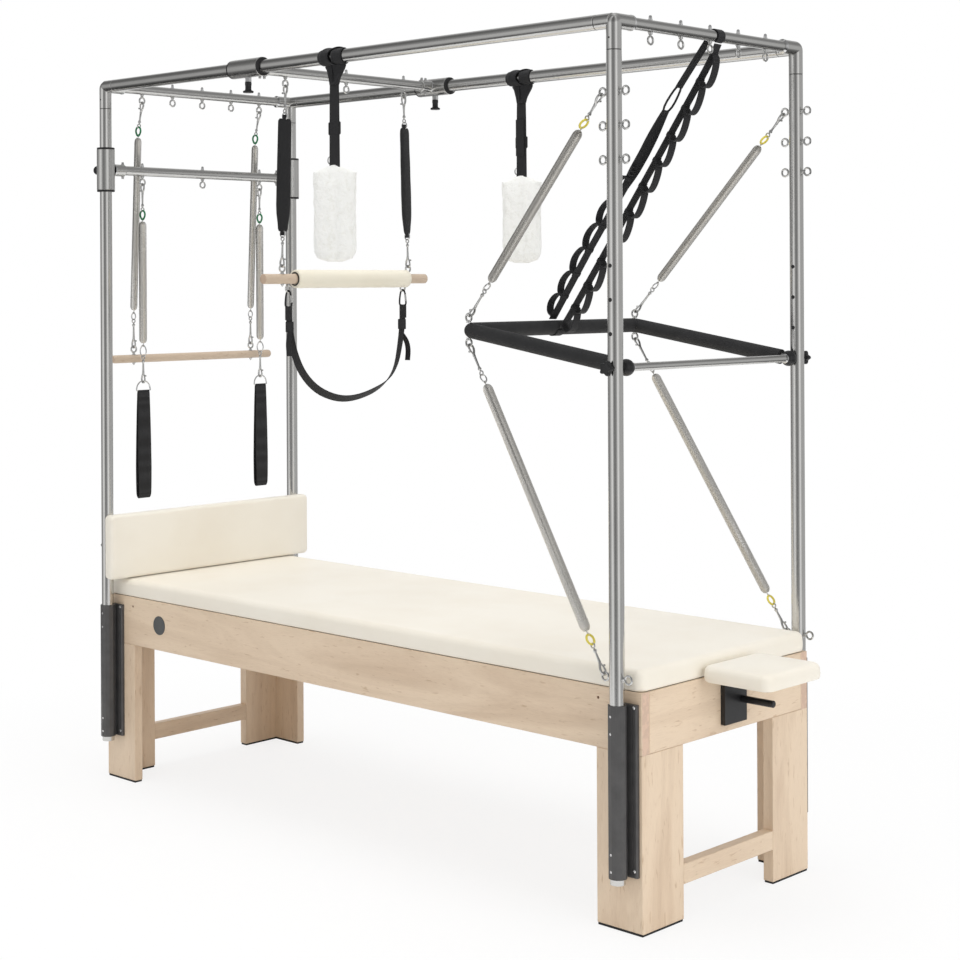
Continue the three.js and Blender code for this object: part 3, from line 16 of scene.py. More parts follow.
import bmesh
import bpy
import numpy as np
from mathutils import Matrix, Vector
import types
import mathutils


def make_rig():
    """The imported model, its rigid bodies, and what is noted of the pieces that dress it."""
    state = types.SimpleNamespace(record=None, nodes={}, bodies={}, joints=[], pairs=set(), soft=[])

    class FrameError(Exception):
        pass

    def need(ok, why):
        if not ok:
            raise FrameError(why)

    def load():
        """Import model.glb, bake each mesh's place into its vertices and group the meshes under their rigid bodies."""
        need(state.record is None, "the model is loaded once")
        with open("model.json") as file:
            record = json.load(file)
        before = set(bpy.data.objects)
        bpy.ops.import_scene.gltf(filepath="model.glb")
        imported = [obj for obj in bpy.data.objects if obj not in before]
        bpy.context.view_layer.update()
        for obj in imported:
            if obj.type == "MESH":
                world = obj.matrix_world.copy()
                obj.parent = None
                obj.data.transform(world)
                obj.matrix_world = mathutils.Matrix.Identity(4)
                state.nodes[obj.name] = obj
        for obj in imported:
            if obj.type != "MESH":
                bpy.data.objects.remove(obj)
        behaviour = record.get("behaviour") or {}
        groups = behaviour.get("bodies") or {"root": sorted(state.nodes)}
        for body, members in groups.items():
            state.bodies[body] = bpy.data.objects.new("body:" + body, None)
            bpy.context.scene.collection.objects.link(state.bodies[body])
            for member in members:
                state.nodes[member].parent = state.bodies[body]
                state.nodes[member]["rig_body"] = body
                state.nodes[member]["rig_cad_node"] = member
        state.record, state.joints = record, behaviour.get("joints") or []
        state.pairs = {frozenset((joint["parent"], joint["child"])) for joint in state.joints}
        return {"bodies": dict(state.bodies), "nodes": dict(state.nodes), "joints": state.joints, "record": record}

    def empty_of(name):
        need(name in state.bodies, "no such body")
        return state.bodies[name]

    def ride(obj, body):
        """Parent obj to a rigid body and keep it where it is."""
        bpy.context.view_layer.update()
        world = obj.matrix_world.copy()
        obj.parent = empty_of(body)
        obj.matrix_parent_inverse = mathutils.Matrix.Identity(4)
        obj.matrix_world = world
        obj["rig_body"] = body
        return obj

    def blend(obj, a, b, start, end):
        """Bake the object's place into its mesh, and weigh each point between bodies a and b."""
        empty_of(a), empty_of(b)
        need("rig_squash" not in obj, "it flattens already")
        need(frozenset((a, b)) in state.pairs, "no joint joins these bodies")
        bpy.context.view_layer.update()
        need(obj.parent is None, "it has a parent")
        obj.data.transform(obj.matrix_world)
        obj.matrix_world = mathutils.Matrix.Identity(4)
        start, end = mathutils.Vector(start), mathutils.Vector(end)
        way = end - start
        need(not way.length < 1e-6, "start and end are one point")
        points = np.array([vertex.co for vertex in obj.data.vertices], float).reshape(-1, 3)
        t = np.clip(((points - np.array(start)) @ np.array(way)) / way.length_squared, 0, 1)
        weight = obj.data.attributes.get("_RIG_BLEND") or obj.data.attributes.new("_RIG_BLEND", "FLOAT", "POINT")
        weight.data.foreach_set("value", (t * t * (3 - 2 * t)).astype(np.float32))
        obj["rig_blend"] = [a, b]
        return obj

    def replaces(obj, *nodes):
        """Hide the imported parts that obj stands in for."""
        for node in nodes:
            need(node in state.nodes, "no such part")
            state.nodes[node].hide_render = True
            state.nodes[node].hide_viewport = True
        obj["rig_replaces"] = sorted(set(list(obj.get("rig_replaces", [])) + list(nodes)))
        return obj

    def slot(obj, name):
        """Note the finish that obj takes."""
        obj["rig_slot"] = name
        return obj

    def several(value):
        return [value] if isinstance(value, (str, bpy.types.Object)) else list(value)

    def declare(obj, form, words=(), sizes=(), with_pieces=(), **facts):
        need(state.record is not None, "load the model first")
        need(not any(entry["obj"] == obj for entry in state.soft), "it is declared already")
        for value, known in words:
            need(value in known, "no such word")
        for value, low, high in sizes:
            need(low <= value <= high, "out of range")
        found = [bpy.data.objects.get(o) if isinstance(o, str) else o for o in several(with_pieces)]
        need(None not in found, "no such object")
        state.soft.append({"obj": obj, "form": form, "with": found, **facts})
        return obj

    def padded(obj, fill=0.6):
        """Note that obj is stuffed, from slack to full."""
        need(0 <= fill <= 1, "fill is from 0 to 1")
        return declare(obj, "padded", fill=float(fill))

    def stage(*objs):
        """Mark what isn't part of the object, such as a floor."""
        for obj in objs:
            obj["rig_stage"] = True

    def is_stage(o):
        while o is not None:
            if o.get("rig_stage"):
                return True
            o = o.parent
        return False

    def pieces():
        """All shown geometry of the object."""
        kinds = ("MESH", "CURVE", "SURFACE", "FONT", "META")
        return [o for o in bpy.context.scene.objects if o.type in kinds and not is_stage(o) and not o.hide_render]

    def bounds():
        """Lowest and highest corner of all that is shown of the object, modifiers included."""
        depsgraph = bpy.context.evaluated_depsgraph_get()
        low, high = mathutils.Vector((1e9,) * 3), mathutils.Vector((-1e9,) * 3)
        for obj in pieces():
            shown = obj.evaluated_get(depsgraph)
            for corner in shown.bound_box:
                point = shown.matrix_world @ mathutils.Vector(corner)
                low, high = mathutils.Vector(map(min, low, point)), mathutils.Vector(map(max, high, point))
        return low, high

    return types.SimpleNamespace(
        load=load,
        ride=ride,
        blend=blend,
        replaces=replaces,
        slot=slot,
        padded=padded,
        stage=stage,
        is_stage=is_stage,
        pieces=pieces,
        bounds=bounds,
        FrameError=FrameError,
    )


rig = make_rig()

log = logging.getLogger("trapeze_table")

METRES = 0.001
SHIFT = np.array([-97.5, 0.0, 0.0])  # from the table frame to the row frame
X, Y, Z = np.eye(3)
FULL = 2 * math.pi
SEED = 7

Color = tuple[float, float, float]
Pairs = tuple[tuple[float, float], ...]
Points = np.ndarray


class Side(Enum):
    """The two long sides of the table, with the sign of their Y."""

    near = -1
    far = 1


class End(Enum):
    """The two ends of the table, with the sign of their X."""

    head = -1
    foot = 1


class Grain(Enum):
    """The axis that a board's grain follows."""

    lengthwise = 0
    across = 1
    upright = 2


# Sizes that several sub-assemblies share with the CAD source
POST_X, POST_Y, TOP_Z, POST_FOOT = 1038.0, 387.0, 2200.0, 126.0
TUBE_R, BAR_R = 19.0, 15.0
EYE_DROP, EYE_MAJOR, EYE_WIRE, EYE_PITCH = 35.0, 10.0, 2.8, 122.5
CARRIAGE_X, LIFT_Z = -331.0, 1936.5
PIVOT_Z, PUSH_X, PUSH_Y, PUSH_Z = 1365.0, 513.0, 346.0, 1448.0
SIDE_EYE, HIGH_EYE, LOW_EYE = 35.5, 2030.0, 620.0
TABLE_HALF_WIDTH = 353.5
CARRIAGE_SLEEVE, LIFT_SLEEVE = 55.0, 57.0
STEEL_RING, COLOR_WIRE, FINE_WIRE = 10.5, 3.0, 1.9
MIX_FACTOR, MIX_A, MIX_B, MIX_RESULT = 0, 6, 7, 2  # sockets of a Mix node that mixes colours


def at(x: float, y: float, z: float) -> Points:
    """A point or direction in the table frame."""
    return np.array([x, y, z], float)


def unit(v: Points) -> Points:
    """The direction of a vector."""
    return v / max(float(np.linalg.norm(v)), 1e-12)


def aimed(a: Points, b: Points) -> Points:
    """The direction from a to b."""
    return unit(b - a)


def rounded(path: Sequence, steps: int = 3, closed: bool = False) -> Points:
    """Cuts a path's corners: each edge keeps its points at 1/4 and 3/4, steps times over.

    Args:
        path: the corners.
        steps: how often the corners are cut.
        closed: whether the last corner joins the first.

    Returns:
        The smoothed path.
    """
    points = np.asarray(path, float)
    for _ in range(steps):
        here, ahead = (points, np.roll(points, -1, 0)) if closed else (points[:-1], points[1:])
        cut = np.stack([here * 0.75 + ahead * 0.25, here * 0.25 + ahead * 0.75], 1).reshape(-1, points.shape[1])
        points = cut if closed else np.vstack([points[:1], cut, points[-1:]])
    return points


def squared(angle: Points, wide: float, deep: float) -> tuple[Points, Points]:
    """A superellipse: sign(cos)|cos|^wide and sign(sin)|sin|^deep, between a circle (1) and a box (0)."""
    c, s = np.cos(angle), np.sin(angle)
    return np.sign(c) * np.abs(c) ** wide, np.sign(s) * np.abs(s) ** deep


def in_plane(origin: Points, u: Points, v: Points, flat: Sequence) -> Points:
    """Points of a plane: origin + a u + b v.

    Args:
        origin: the plane's own zero.
        u: its first direction.
        v: its second direction.
        flat: one pair (a, b), or a pair a row.

    Returns:
        One point, or one a row.
    """
    pairs = np.asarray(flat, float)
    return origin + u * pairs[..., :1] + v * pairs[..., 1:]


def tangents_of(path: Points, closed: bool) -> Points:
    """Unit tangents: from the point behind to the point ahead.

    Args:
        path: the points, one a row.
        closed: whether the last point joins the first.

    Returns:
        One direction a point.
    """
    ahead = np.roll(path, -1, 0) if closed else np.vstack([path[1:], path[-1:]])
    behind = np.roll(path, 1, 0) if closed else np.vstack([path[:1], path[:-1]])
    along = ahead - behind
    return along / np.linalg.norm(along, axis=1)[:, None]


# Finishes


class Shader:
    """A Principled material, with short calls that wire procedural detail into it."""

    def __init__(self, name: str, color: Color, rough: float, metal: float = 0.0, **sockets: float) -> None:
        """Makes the material and sets its plain values on the shader's own sockets.

        Args:
            name: the material's name.
            color: its base colour.
            rough: its roughness.
            metal: its share of metal.
            sockets: values for other sockets, with _ for a space.
        """
        self.material = bpy.data.materials.new(name)
        self.material.use_nodes = True
        self.tree = self.material.node_tree
        self.bsdf = self.tree.nodes["Principled BSDF"]
        self.bsdf.inputs["Base Color"].default_value = (*color, 1.0)
        self.bsdf.inputs["Roughness"].default_value = rough
        self.bsdf.inputs["Metallic"].default_value = metal
        for key, value in sockets.items():
            self.bsdf.inputs[key.replace("_", " ")].default_value = value
        self.material.diffuse_color = (*color, 1.0)
        self.normal = None

    def node(self, kind: str, **values: object) -> bpy.types.Node:
        """Adds a node; a value goes to the input of that name, or else to the attribute.

        Args:
            kind: the node's type.
            values: the values by name.

        Returns:
            The new node.
        """
        made = self.tree.nodes.new(kind)
        for key, value in values.items():
            if key in made.inputs:
                made.inputs[key].default_value = value
            else:
                setattr(made, key, value)
        return made

    def link(self, source: object, target: object) -> None:
        """Joins an output to an input."""
        self.tree.links.new(source, target)

    def coords(self, scale: Sequence[float] = (1, 1, 1)) -> object:
        """Object coordinates, in metres.

        Args:
            scale: how much each axis is stretched.

        Returns:
            The vector output.
        """
        where = self.node("ShaderNodeTexCoord")
        mapping = self.node("ShaderNodeMapping")
        mapping.inputs["Scale"].default_value = scale
        self.link(where.outputs["Object"], mapping.inputs["Vector"])
        return mapping.outputs["Vector"]

    def noise(self, size: float, detail: float = 3.0, scale: Sequence[float] = (1, 1, 1), rough: float = 0.55,
              twist: float = 0.0) -> object:
        """Fractal noise, from 0 to 1.

        Args:
            size: cells a metre, before the stretch.
            detail: how many finer layers it has.
            scale: how much each axis is stretched.
            rough: how strong the finer layers are.
            twist: how far it bends itself.

        Returns:
            The factor output.
        """
        made = self.node("ShaderNodeTexNoise", Scale=size, Detail=detail, Roughness=rough, Distortion=twist)
        self.link(self.coords(scale), made.inputs["Vector"])
        return made.outputs["Fac"]

    def ramp(self, source: object, low: Color, high: Color, low_at: float = 0.3, high_at: float = 0.7) -> object:
        """A blend from one colour to another.

        Args:
            source: the output that drives it.
            low: the colour at low_at and below.
            high: the colour at high_at and above.
            low_at: where the blend starts.
            high_at: where it ends.

        Returns:
            The colour output.
        """
        made = self.node("ShaderNodeValToRGB")
        made.color_ramp.elements[0].position, made.color_ramp.elements[1].position = low_at, high_at
        made.color_ramp.elements[0].color = (*low, 1)
        made.color_ramp.elements[1].color = (*high, 1)
        self.link(source, made.inputs["Fac"])
        return made.outputs["Color"]

    def tint(self, source: object) -> None:
        """Drives the base colour."""
        self.link(source, self.bsdf.inputs["Base Color"])

    def roughen(self, source: object, low: float, high: float) -> None:
        """Drives the roughness.

        Args:
            source: an output from 0 to 1.
            low: the roughness at 0.
            high: the roughness at 1.
        """
        made = self.node("ShaderNodeMapRange")
        made.inputs["To Min"].default_value, made.inputs["To Max"].default_value = low, high
        self.link(source, made.inputs["Value"])
        self.link(made.outputs["Result"], self.bsdf.inputs["Roughness"])

    def ease_edges(self, radius: float) -> None:
        """Rounds sharp edges in shading.

        Args:
            radius: the radius, in metres.
        """
        made = self.node("ShaderNodeBevel", samples=4)
        made.inputs["Radius"].default_value = radius
        self.normal = made.outputs["Normal"]
        self.link(self.normal, self.bsdf.inputs["Normal"])

    def bump(self, source: object, strength: float, distance: float) -> None:
        """Adds relief on top of the relief so far.

        Args:
            source: the height, from 0 to 1.
            strength: how much of it is felt.
            distance: its depth, in metres.
        """
        made = self.node("ShaderNodeBump", Strength=strength, Distance=distance)
        self.link(source, made.inputs["Height"])
        if self.normal is not None:
            self.link(self.normal, made.inputs["Normal"])
        self.normal = made.outputs["Normal"]
        self.link(self.normal, self.bsdf.inputs["Normal"])

    def blend(self, factor: object, a: object, b: object, mode: str = "MIX") -> object:
        """Mixes two colours.

        Args:
            factor: a number or an output.
            a: the first colour.
            b: the second colour.
            mode: how they mix.

        Returns:
            The colour output.
        """
        made = self.node("ShaderNodeMix", data_type="RGBA", blend_type=mode)
        if isinstance(factor, (int, float)):
            made.inputs[MIX_FACTOR].default_value = factor
        else:
            self.link(factor, made.inputs[MIX_FACTOR])
        self.link(a, made.inputs[MIX_A])
        self.link(b, made.inputs[MIX_B])
        return made.outputs[MIX_RESULT]


@dataclass(frozen=True)
class Steel:
    """Polished stainless steel, drawn along one direction."""

    name: str
    color: Color = (0.66, 0.655, 0.64)
    rough: float = 0.17
    along: tuple[float, float, float] = (500.0, 500.0, 500.0)

    def material(self) -> bpy.types.Material:
        """Fine drawn lines, a slow change of gloss and faint handling marks.

        Returns:
            The new material.
        """
        made = Shader(self.name, self.color, self.rough, 1.0)
        made.tint(made.ramp(made.noise(6.0, 3.0), tuple(c * 0.93 for c in self.color), self.color))
        made.roughen(made.noise(11.0, 3.0), self.rough * 0.75, self.rough * 1.35)
        made.bump(made.noise(1.0, 2.0, self.along), 0.04, 0.0002)
        return made.material


@dataclass(frozen=True)
class Maple:
    """Pale maple with soft figure and short dark flecks, and pinker end grain on faces across its axis."""

    name: str
    grain: Grain
    pale: Color = (0.77, 0.615, 0.455)
    deep: Color = (0.64, 0.485, 0.345)
    end: Color = (0.60, 0.43, 0.325)
    end_facing: float = 0.8  # how squarely a face lies across the grain before it shows end grain

    def material(self) -> bpy.types.Material:
        """Long figure, flecks and pores stretched along the grain, under a thin satin lacquer.

        Returns:
            The new material.
        """
        made = Shader(self.name, self.pale, 0.45, 0.0, Coat_Weight=0.1, Coat_Roughness=0.3)
        figure = self.stretched(made, 9.0, 1.3, 5.0, 1.2)
        flecks = self.stretched(made, 130.0, 22.0, 2.0, 0.4)
        pores = self.stretched(made, 800.0, 40.0, 2.0, 0.0)
        face = made.ramp(figure, self.deep, self.pale, 0.30, 0.58)
        marks = made.ramp(flecks, (0.76, 0.68, 0.60), (1, 1, 1), 0.28, 0.37)
        fine = made.ramp(pores, (0.88, 0.85, 0.82), (1, 1, 1), 0.3, 0.5)
        face = made.blend(0.8, face, marks, "MULTIPLY")
        face = made.blend(0.6, face, fine, "MULTIPLY")
        geometry = made.node("ShaderNodeNewGeometry")
        split = made.node("ShaderNodeSeparateXYZ")
        made.link(geometry.outputs["Normal"], split.inputs["Vector"])
        size = made.node("ShaderNodeMath", operation="ABSOLUTE")
        made.link(split.outputs[self.grain.value], size.inputs[0])
        over = made.node("ShaderNodeMath", operation="GREATER_THAN")
        over.inputs[1].default_value = self.end_facing
        made.link(size.outputs[0], over.inputs[0])
        rings = made.node("ShaderNodeTexWave", Scale=55.0, Distortion=7.0, Detail=3.0)
        made.link(made.coords(), rings.inputs["Vector"])
        ends = made.ramp(rings.outputs["Fac"], self.end, tuple(c * 1.12 for c in self.end), 0.2, 0.8)
        made.tint(made.blend(over.outputs[0], face, ends))
        made.roughen(figure, 0.5, 0.38)
        made.ease_edges(0.0018)
        made.bump(pores, 0.1, 0.0003)
        return made.material

    def stretched(self, made: Shader, across: float, along: float, detail: float, twist: float) -> object:
        """Noise drawn out along the grain.

        Args:
            made: the shader that it belongs to.
            across: cells a metre across the grain.
            along: cells a metre along it.
            detail: how many finer layers it has.
            twist: how far it bends itself.

        Returns:
            The factor output.
        """
        scale = [across] * 3
        scale[self.grain.value] = along
        return made.noise(1.0, detail, scale, 0.6, twist)


@dataclass(frozen=True)
class Leather:
    """Cream upholstery leather with fine pebbles."""

    name: str
    color: Color = (0.88, 0.83, 0.73)
    shade: Color = (0.85, 0.79, 0.68)
    cell: float = 1000.0

    def material(self) -> bpy.types.Material:
        """A slow wave in the filling, pebbled grain and a soft gloss.

        Returns:
            The new material.
        """
        made = Shader(self.name, self.color, 0.4, 0.0, Sheen_Weight=0.1, Sheen_Roughness=0.5)
        pebbles = made.node("ShaderNodeTexVoronoi", Scale=self.cell)
        made.link(made.coords(), pebbles.inputs["Vector"])
        made.tint(made.ramp(made.noise(4.0, 4.0), self.shade, self.color, 0.3, 0.6))
        made.roughen(made.noise(12.0, 3.0), 0.34, 0.5)
        made.bump(made.noise(9.0, 2.0), 0.12, 0.004)
        made.bump(pebbles.outputs["Distance"], 0.12, 0.0004)
        return made.material


@dataclass(frozen=True)
class Webbing:
    """Black woven webbing: ribs of yarn in two directions."""

    name: str
    color: Color = (0.009, 0.009, 0.010)
    # the colour of the painted highlight on the tops of the yarn mounds
    light: Color = (0.028, 0.028, 0.031)
    rib: float = 420.0

    def material(self) -> bpy.types.Material:
        """The product of two sets of waves gives each crossing of the yarns its own small mound, painted lighter on its
        top as a painted highlight and darker in the hollows as painted shade.

        Returns:
            The new material.
        """
        made = Shader(self.name, self.color, 0.7, 0.0, Sheen_Weight=0.1, Sheen_Roughness=0.4)
        waves = []
        for direction in ("X", "Z"):
            wave = made.node("ShaderNodeTexWave", Scale=self.rib, Distortion=0.5, bands_direction=direction)
            made.link(made.coords(), wave.inputs["Vector"])
            waves.append(wave.outputs["Fac"])
        product = made.node("ShaderNodeMath", operation="MULTIPLY")
        made.link(waves[0], product.inputs[0])
        made.link(waves[1], product.inputs[1])
        # Painted highlight and painted shade: the colour follows the mounds' height, as the bump does.
        made.tint(made.ramp(product.outputs[0], self.color, self.light, 0.1, 0.9))
        made.bump(product.outputs[0], 0.3, 0.0006)
        made.bump(made.noise(45.0, 3.0), 0.15, 0.0012)
        return made.material


@dataclass(frozen=True)
class Moulded:
    """Moulded plastic, rubber, foam or powder coat with a fine even grain."""

    name: str
    color: Color
    rough: float
    size: float = 600.0
    depth: float = 0.1
    metal: float = 0.0

    def material(self) -> bpy.types.Material:
        """Grain in the relief, a slight mottle in the colour and worn, glossier patches.

        Returns:
            The new material.
        """
        made = Shader(self.name, self.color, self.rough, self.metal)
        made.tint(made.ramp(made.noise(25.0, 3.0), tuple(c * 0.86 for c in self.color),
                            tuple(min(c * 1.12, 1) for c in self.color)))
        made.roughen(made.noise(35.0, 3.0), self.rough * 0.86, min(self.rough * 1.12, 1.0))
        made.bump(made.noise(self.size, 3.0), self.depth, 0.0004)
        return made.material


@dataclass(frozen=True)
class Lambswool:
    """White fleece with clumped, curly pile."""

    name: str
    color: Color = (0.95, 0.95, 0.92)
    # the colour of the painted shade in the hollows between clumps
    shade: Color = (0.84, 0.835, 0.78)

    def material(self) -> bpy.types.Material:
        """Clumps and curls in relief, with painted shade in the hollows between the clumps, under a strong soft sheen.

        Returns:
            The new material.
        """
        made = Shader(self.name, self.color, 0.95, 0.0, Sheen_Weight=0.4, Sheen_Roughness=0.7)
        clumps = made.noise(55.0, 6.0, (1, 1, 1), 0.7, 0.6)
        curls = made.node("ShaderNodeTexVoronoi", Scale=210.0)
        made.link(made.coords(), curls.inputs["Vector"])
        # Painted shade: the colour follows the clumps' height, darker in their hollows.
        made.tint(made.ramp(clumps, self.shade, self.color, 0.28, 0.5))
        made.bump(clumps, 0.45, 0.005)
        made.bump(curls.outputs["Distance"], 0.35, 0.002)
        return made.material


FINISHES: dict[str, object] = {
    "tube_z": Steel("steel_upright", along=(700.0, 700.0, 2.0)),
    "tube_x": Steel("steel_lengthwise", along=(2.0, 700.0, 700.0)),
    "tube_y": Steel("steel_across", along=(700.0, 2.0, 700.0)),
    "sleeve": Steel("steel_sleeve", (0.62, 0.615, 0.60), 0.22),
    "bright": Steel("steel_bright", (0.74, 0.74, 0.74), 0.12),
    "wire": Steel("steel_wire", (0.68, 0.68, 0.67), 0.2),
    "spring": Steel("spring_wire", (0.80, 0.78, 0.74), 0.26),
    "wood_x": Maple("maple_lengthwise", Grain.lengthwise),
    "wood_y": Maple("maple_across", Grain.across),
    "wood_z": Maple("maple_upright", Grain.upright),
    "dowel": Maple("dowel_wood", Grain.across, (0.62, 0.50, 0.385), (0.55, 0.43, 0.32), (0.50, 0.37, 0.27)),
    "leather": Leather("leather_cream"),
    "roll": Leather("roll_cream", (0.84, 0.79, 0.66), (0.80, 0.74, 0.60), 750.0),
    "fleece": Lambswool("lambswool"),
    # The second colour of each webbing finish is its painted highlight on the yarn mounds.
    "strap": Webbing("webbing_black"),
    "pad": Webbing("padded_cloth", (0.010, 0.010, 0.011), (0.024, 0.024, 0.026), 700.0),
    "stitch": Moulded("stitching", (0.035, 0.035, 0.037), 0.7),
    "dark": Moulded("dark_coat", (0.085, 0.083, 0.083), 0.42, 700.0, 0.12, 0.3),
    "badge": Moulded("badge_grey", (0.08, 0.084, 0.084), 0.38),
    "black": Moulded("moulded_black", (0.011, 0.011, 0.012), 0.4),
    "seam": Moulded("seam_shadow", (0.03, 0.03, 0.03), 0.6),
    "foam": Moulded("foam_black", (0.021, 0.021, 0.022), 0.72, 900.0, 0.25),
    "rubber": Moulded("rubber_black", (0.018, 0.018, 0.019), 0.8, 500.0, 0.2),
    "green": Moulded("ring_green", (0.012, 0.17, 0.065), 0.35),
    "yellow": Moulded("ring_yellow", (0.78, 0.66, 0.10), 0.3),
}


class Palette:
    """Makes each finish once, when a piece first asks for it."""

    made: dict[str, bpy.types.Material] = {}

    @classmethod
    def get(cls, finish: str) -> bpy.types.Material:
        """The material of a finish.

        Args:
            finish: the finish's name.

        Returns:
            The material, which is made at the first call.
        """
        if finish not in cls.made:
            cls.made[finish] = FINISHES[finish].material()
        return cls.made[finish]


# Surfaces


class Piece:
    """Gathers the surfaces of one piece, in the table frame, and makes one Blender object of them."""

    def __init__(self) -> None:
        """Starts with no surfaces."""
        self.points: list[Points] = []
        self.faces: list[list[int]] = []
        self.finishes: list[str] = []
        self.slots: list[int] = []
        self.count = 0

    def add(self, points: Points, faces: Iterable[Sequence[int]], finish: str) -> None:
        """Adds a surface in one finish.

        Args:
            points: its vertices.
            faces: the vertices' numbers, face by face.
            finish: the finish's name.
        """
        if finish not in self.finishes:
            self.finishes.append(finish)
        moved = [[i + self.count for i in face] for face in faces]
        self.faces += moved
        self.slots += [self.finishes.index(finish)] * len(moved)
        self.points.append(np.asarray(points, float))
        self.count += len(points)

    def loft(self, rings: Points, finish: str, endless: bool = False) -> None:
        """Skins a grid of rings: quads between neighbours, and a cap at each end unless endless.

        Args:
            rings: points by ring and by place in the ring.
            finish: the finish's name.
            endless: whether the last ring joins the first.
        """
        n, m = rings.shape[:2]
        i, j = np.meshgrid(np.arange(n if endless else n - 1), np.arange(m), indexing="ij")
        k, ahead = (j + 1) % m, (i + 1) % n
        faces = np.stack([i * m + j, i * m + k, ahead * m + k, ahead * m + j], -1).reshape(-1, 4).tolist()
        if not endless:
            faces += [list(range(m - 1, -1, -1)), list(range((n - 1) * m, n * m))]
        self.add(rings.reshape(-1, 3), faces, finish)

    def tube(self, path: Points, radius: object, finish: str, sides: int = 12, closed: bool = False) -> None:
        """Round stock along a path: path + radius (u cos a + v sin a), with v near the path's flattest direction.

        Args:
            path: the centre line.
            radius: one radius, or one a point.
            finish: the finish's name.
            sides: points around the section.
            closed: whether the path joins up.
        """
        path = np.asarray(path, float)
        along = tangents_of(path, closed)
        flat = np.linalg.svd(path - path.mean(0), full_matrices=True)[2][2]
        u = np.cross(along, flat)
        u /= np.linalg.norm(u, axis=1)[:, None]
        v = np.cross(along, u)
        angle = np.linspace(0, FULL, sides, endpoint=False)[None, :, None]
        size = np.broadcast_to(np.asarray(radius, float), (len(path),))[:, None, None]
        self.loft(path[:, None] + size * (u[:, None] * np.cos(angle) + v[:, None] * np.sin(angle)), finish, closed)

    def turned(self, profile: Sequence, origin: Points, axis: Points, finish: str, sides: int = 32) -> None:
        """A surface of revolution: origin + height axis + radius (u cos a + v sin a).

        Args:
            profile: [radius, height] pairs, from one end to the other.
            origin: where height is 0.
            axis: the way that height grows.
            finish: the finish's name.
            sides: points around the axis.
        """
        d = unit(np.asarray(axis, float))
        u = unit(np.cross(d, X if abs(d[0]) < 0.8 else Y))
        angle = np.linspace(0, FULL, sides, endpoint=False)
        circle = u * np.cos(angle)[:, None] + np.cross(d, u) * np.sin(angle)[:, None]
        radius, height = np.asarray(profile, float).T
        self.loft(origin + d * height[:, None, None] + circle[None] * np.maximum(radius, 0.02)[:, None, None], finish)

    def rod(self, a: Points, b: Points, radius: float, finish: str, ease: float = 0.0, sides: int = 32) -> None:
        """A straight rod, with its ends eased and a ring past each, which keeps the wall's shading level.

        Args:
            a: the middle of one end.
            b: the middle of the other end.
            radius: its radius.
            finish: the finish's name.
            ease: the radius of its end edges.
            sides: points around it.
        """
        length = float(np.linalg.norm(b - a))
        e = min(ease, radius * 0.9, length / 2)
        half = [(radius, 0)]
        if e and length > 2 * e + 0.1:
            past = min(e + 2, length / 2 - 0.01)
            half = [(radius - e, 0), (radius - e * 0.3, e * 0.3), (radius, e), (radius, past)]
        self.turned(half + [(r, length - h) for r, h in reversed(half)], a, b - a, finish, sides)

    def ring(self, centre: Points, normal: Points, major: float, wire: float, finish: str,
             towards: Points | None = None, point: float = 0.0, steps: int = 32) -> None:
        """A wire ring of radius major (1 + point max(cos a, 0)^6), so that it can be drawn out to one side.

        Args:
            centre: its middle.
            normal: the normal of its plane.
            major: the radius of its centre line.
            wire: the radius of its wire.
            finish: the finish's name.
            towards: the side that it is drawn out to.
            point: how far it is drawn out, as a share of major.
            steps: points around the ring.
        """
        n = unit(normal)
        skew = X + Y * 0.3 + Z * 0.2  # along no axis, so that it never lies on the normal
        u = unit(np.cross(n, skew)) if towards is None else unit(towards - n * (towards @ n))
        angle = np.linspace(0, FULL, steps, endpoint=False)
        reach = major * (1 + point * np.clip(np.cos(angle), 0, 1) ** 6)
        path = centre + u * (reach * np.cos(angle))[:, None] + np.cross(n, u) * (reach * np.sin(angle))[:, None]
        self.tube(path, wire, finish, 10, True)

    def band(self, path: Points, across: Points, width: object, thick: float, finish: str,
             closed: bool = False) -> None:
        """Flat webbing with soft selvedges: a rounded slot-shaped section carried along a path.

        Args:
            path: the webbing's middle line.
            across: the direction of its width, one or one a point.
            width: its width, one or one a point.
            thick: its thickness.
            finish: the finish's name.
            closed: whether the path joins up.
        """
        path = np.asarray(path, float)
        along = tangents_of(path, closed)
        across = np.broadcast_to(np.asarray(across, float), path.shape)
        wide = across - along * np.sum(across * along, 1)[:, None]
        wide /= np.linalg.norm(wide, axis=1)[:, None]
        up = np.cross(along, wide)
        half = np.broadcast_to(np.asarray(width, float), (len(path),))[:, None, None] / 2
        section = np.array([(-1, -0.4), (-0.96, -1), (-0.5, -1), (0, -1), (0.5, -1), (0.96, -1), (1, -0.4), (1, 0.4),
                            (0.96, 1), (0.5, 1), (0, 1), (-0.5, 1), (-0.96, 1), (-1, 0.4)])
        self.loft(path[:, None] + wide[:, None] * half * section[None, :, :1]
                  + up[:, None] * (thick / 2) * section[None, :, 1:], finish, closed)

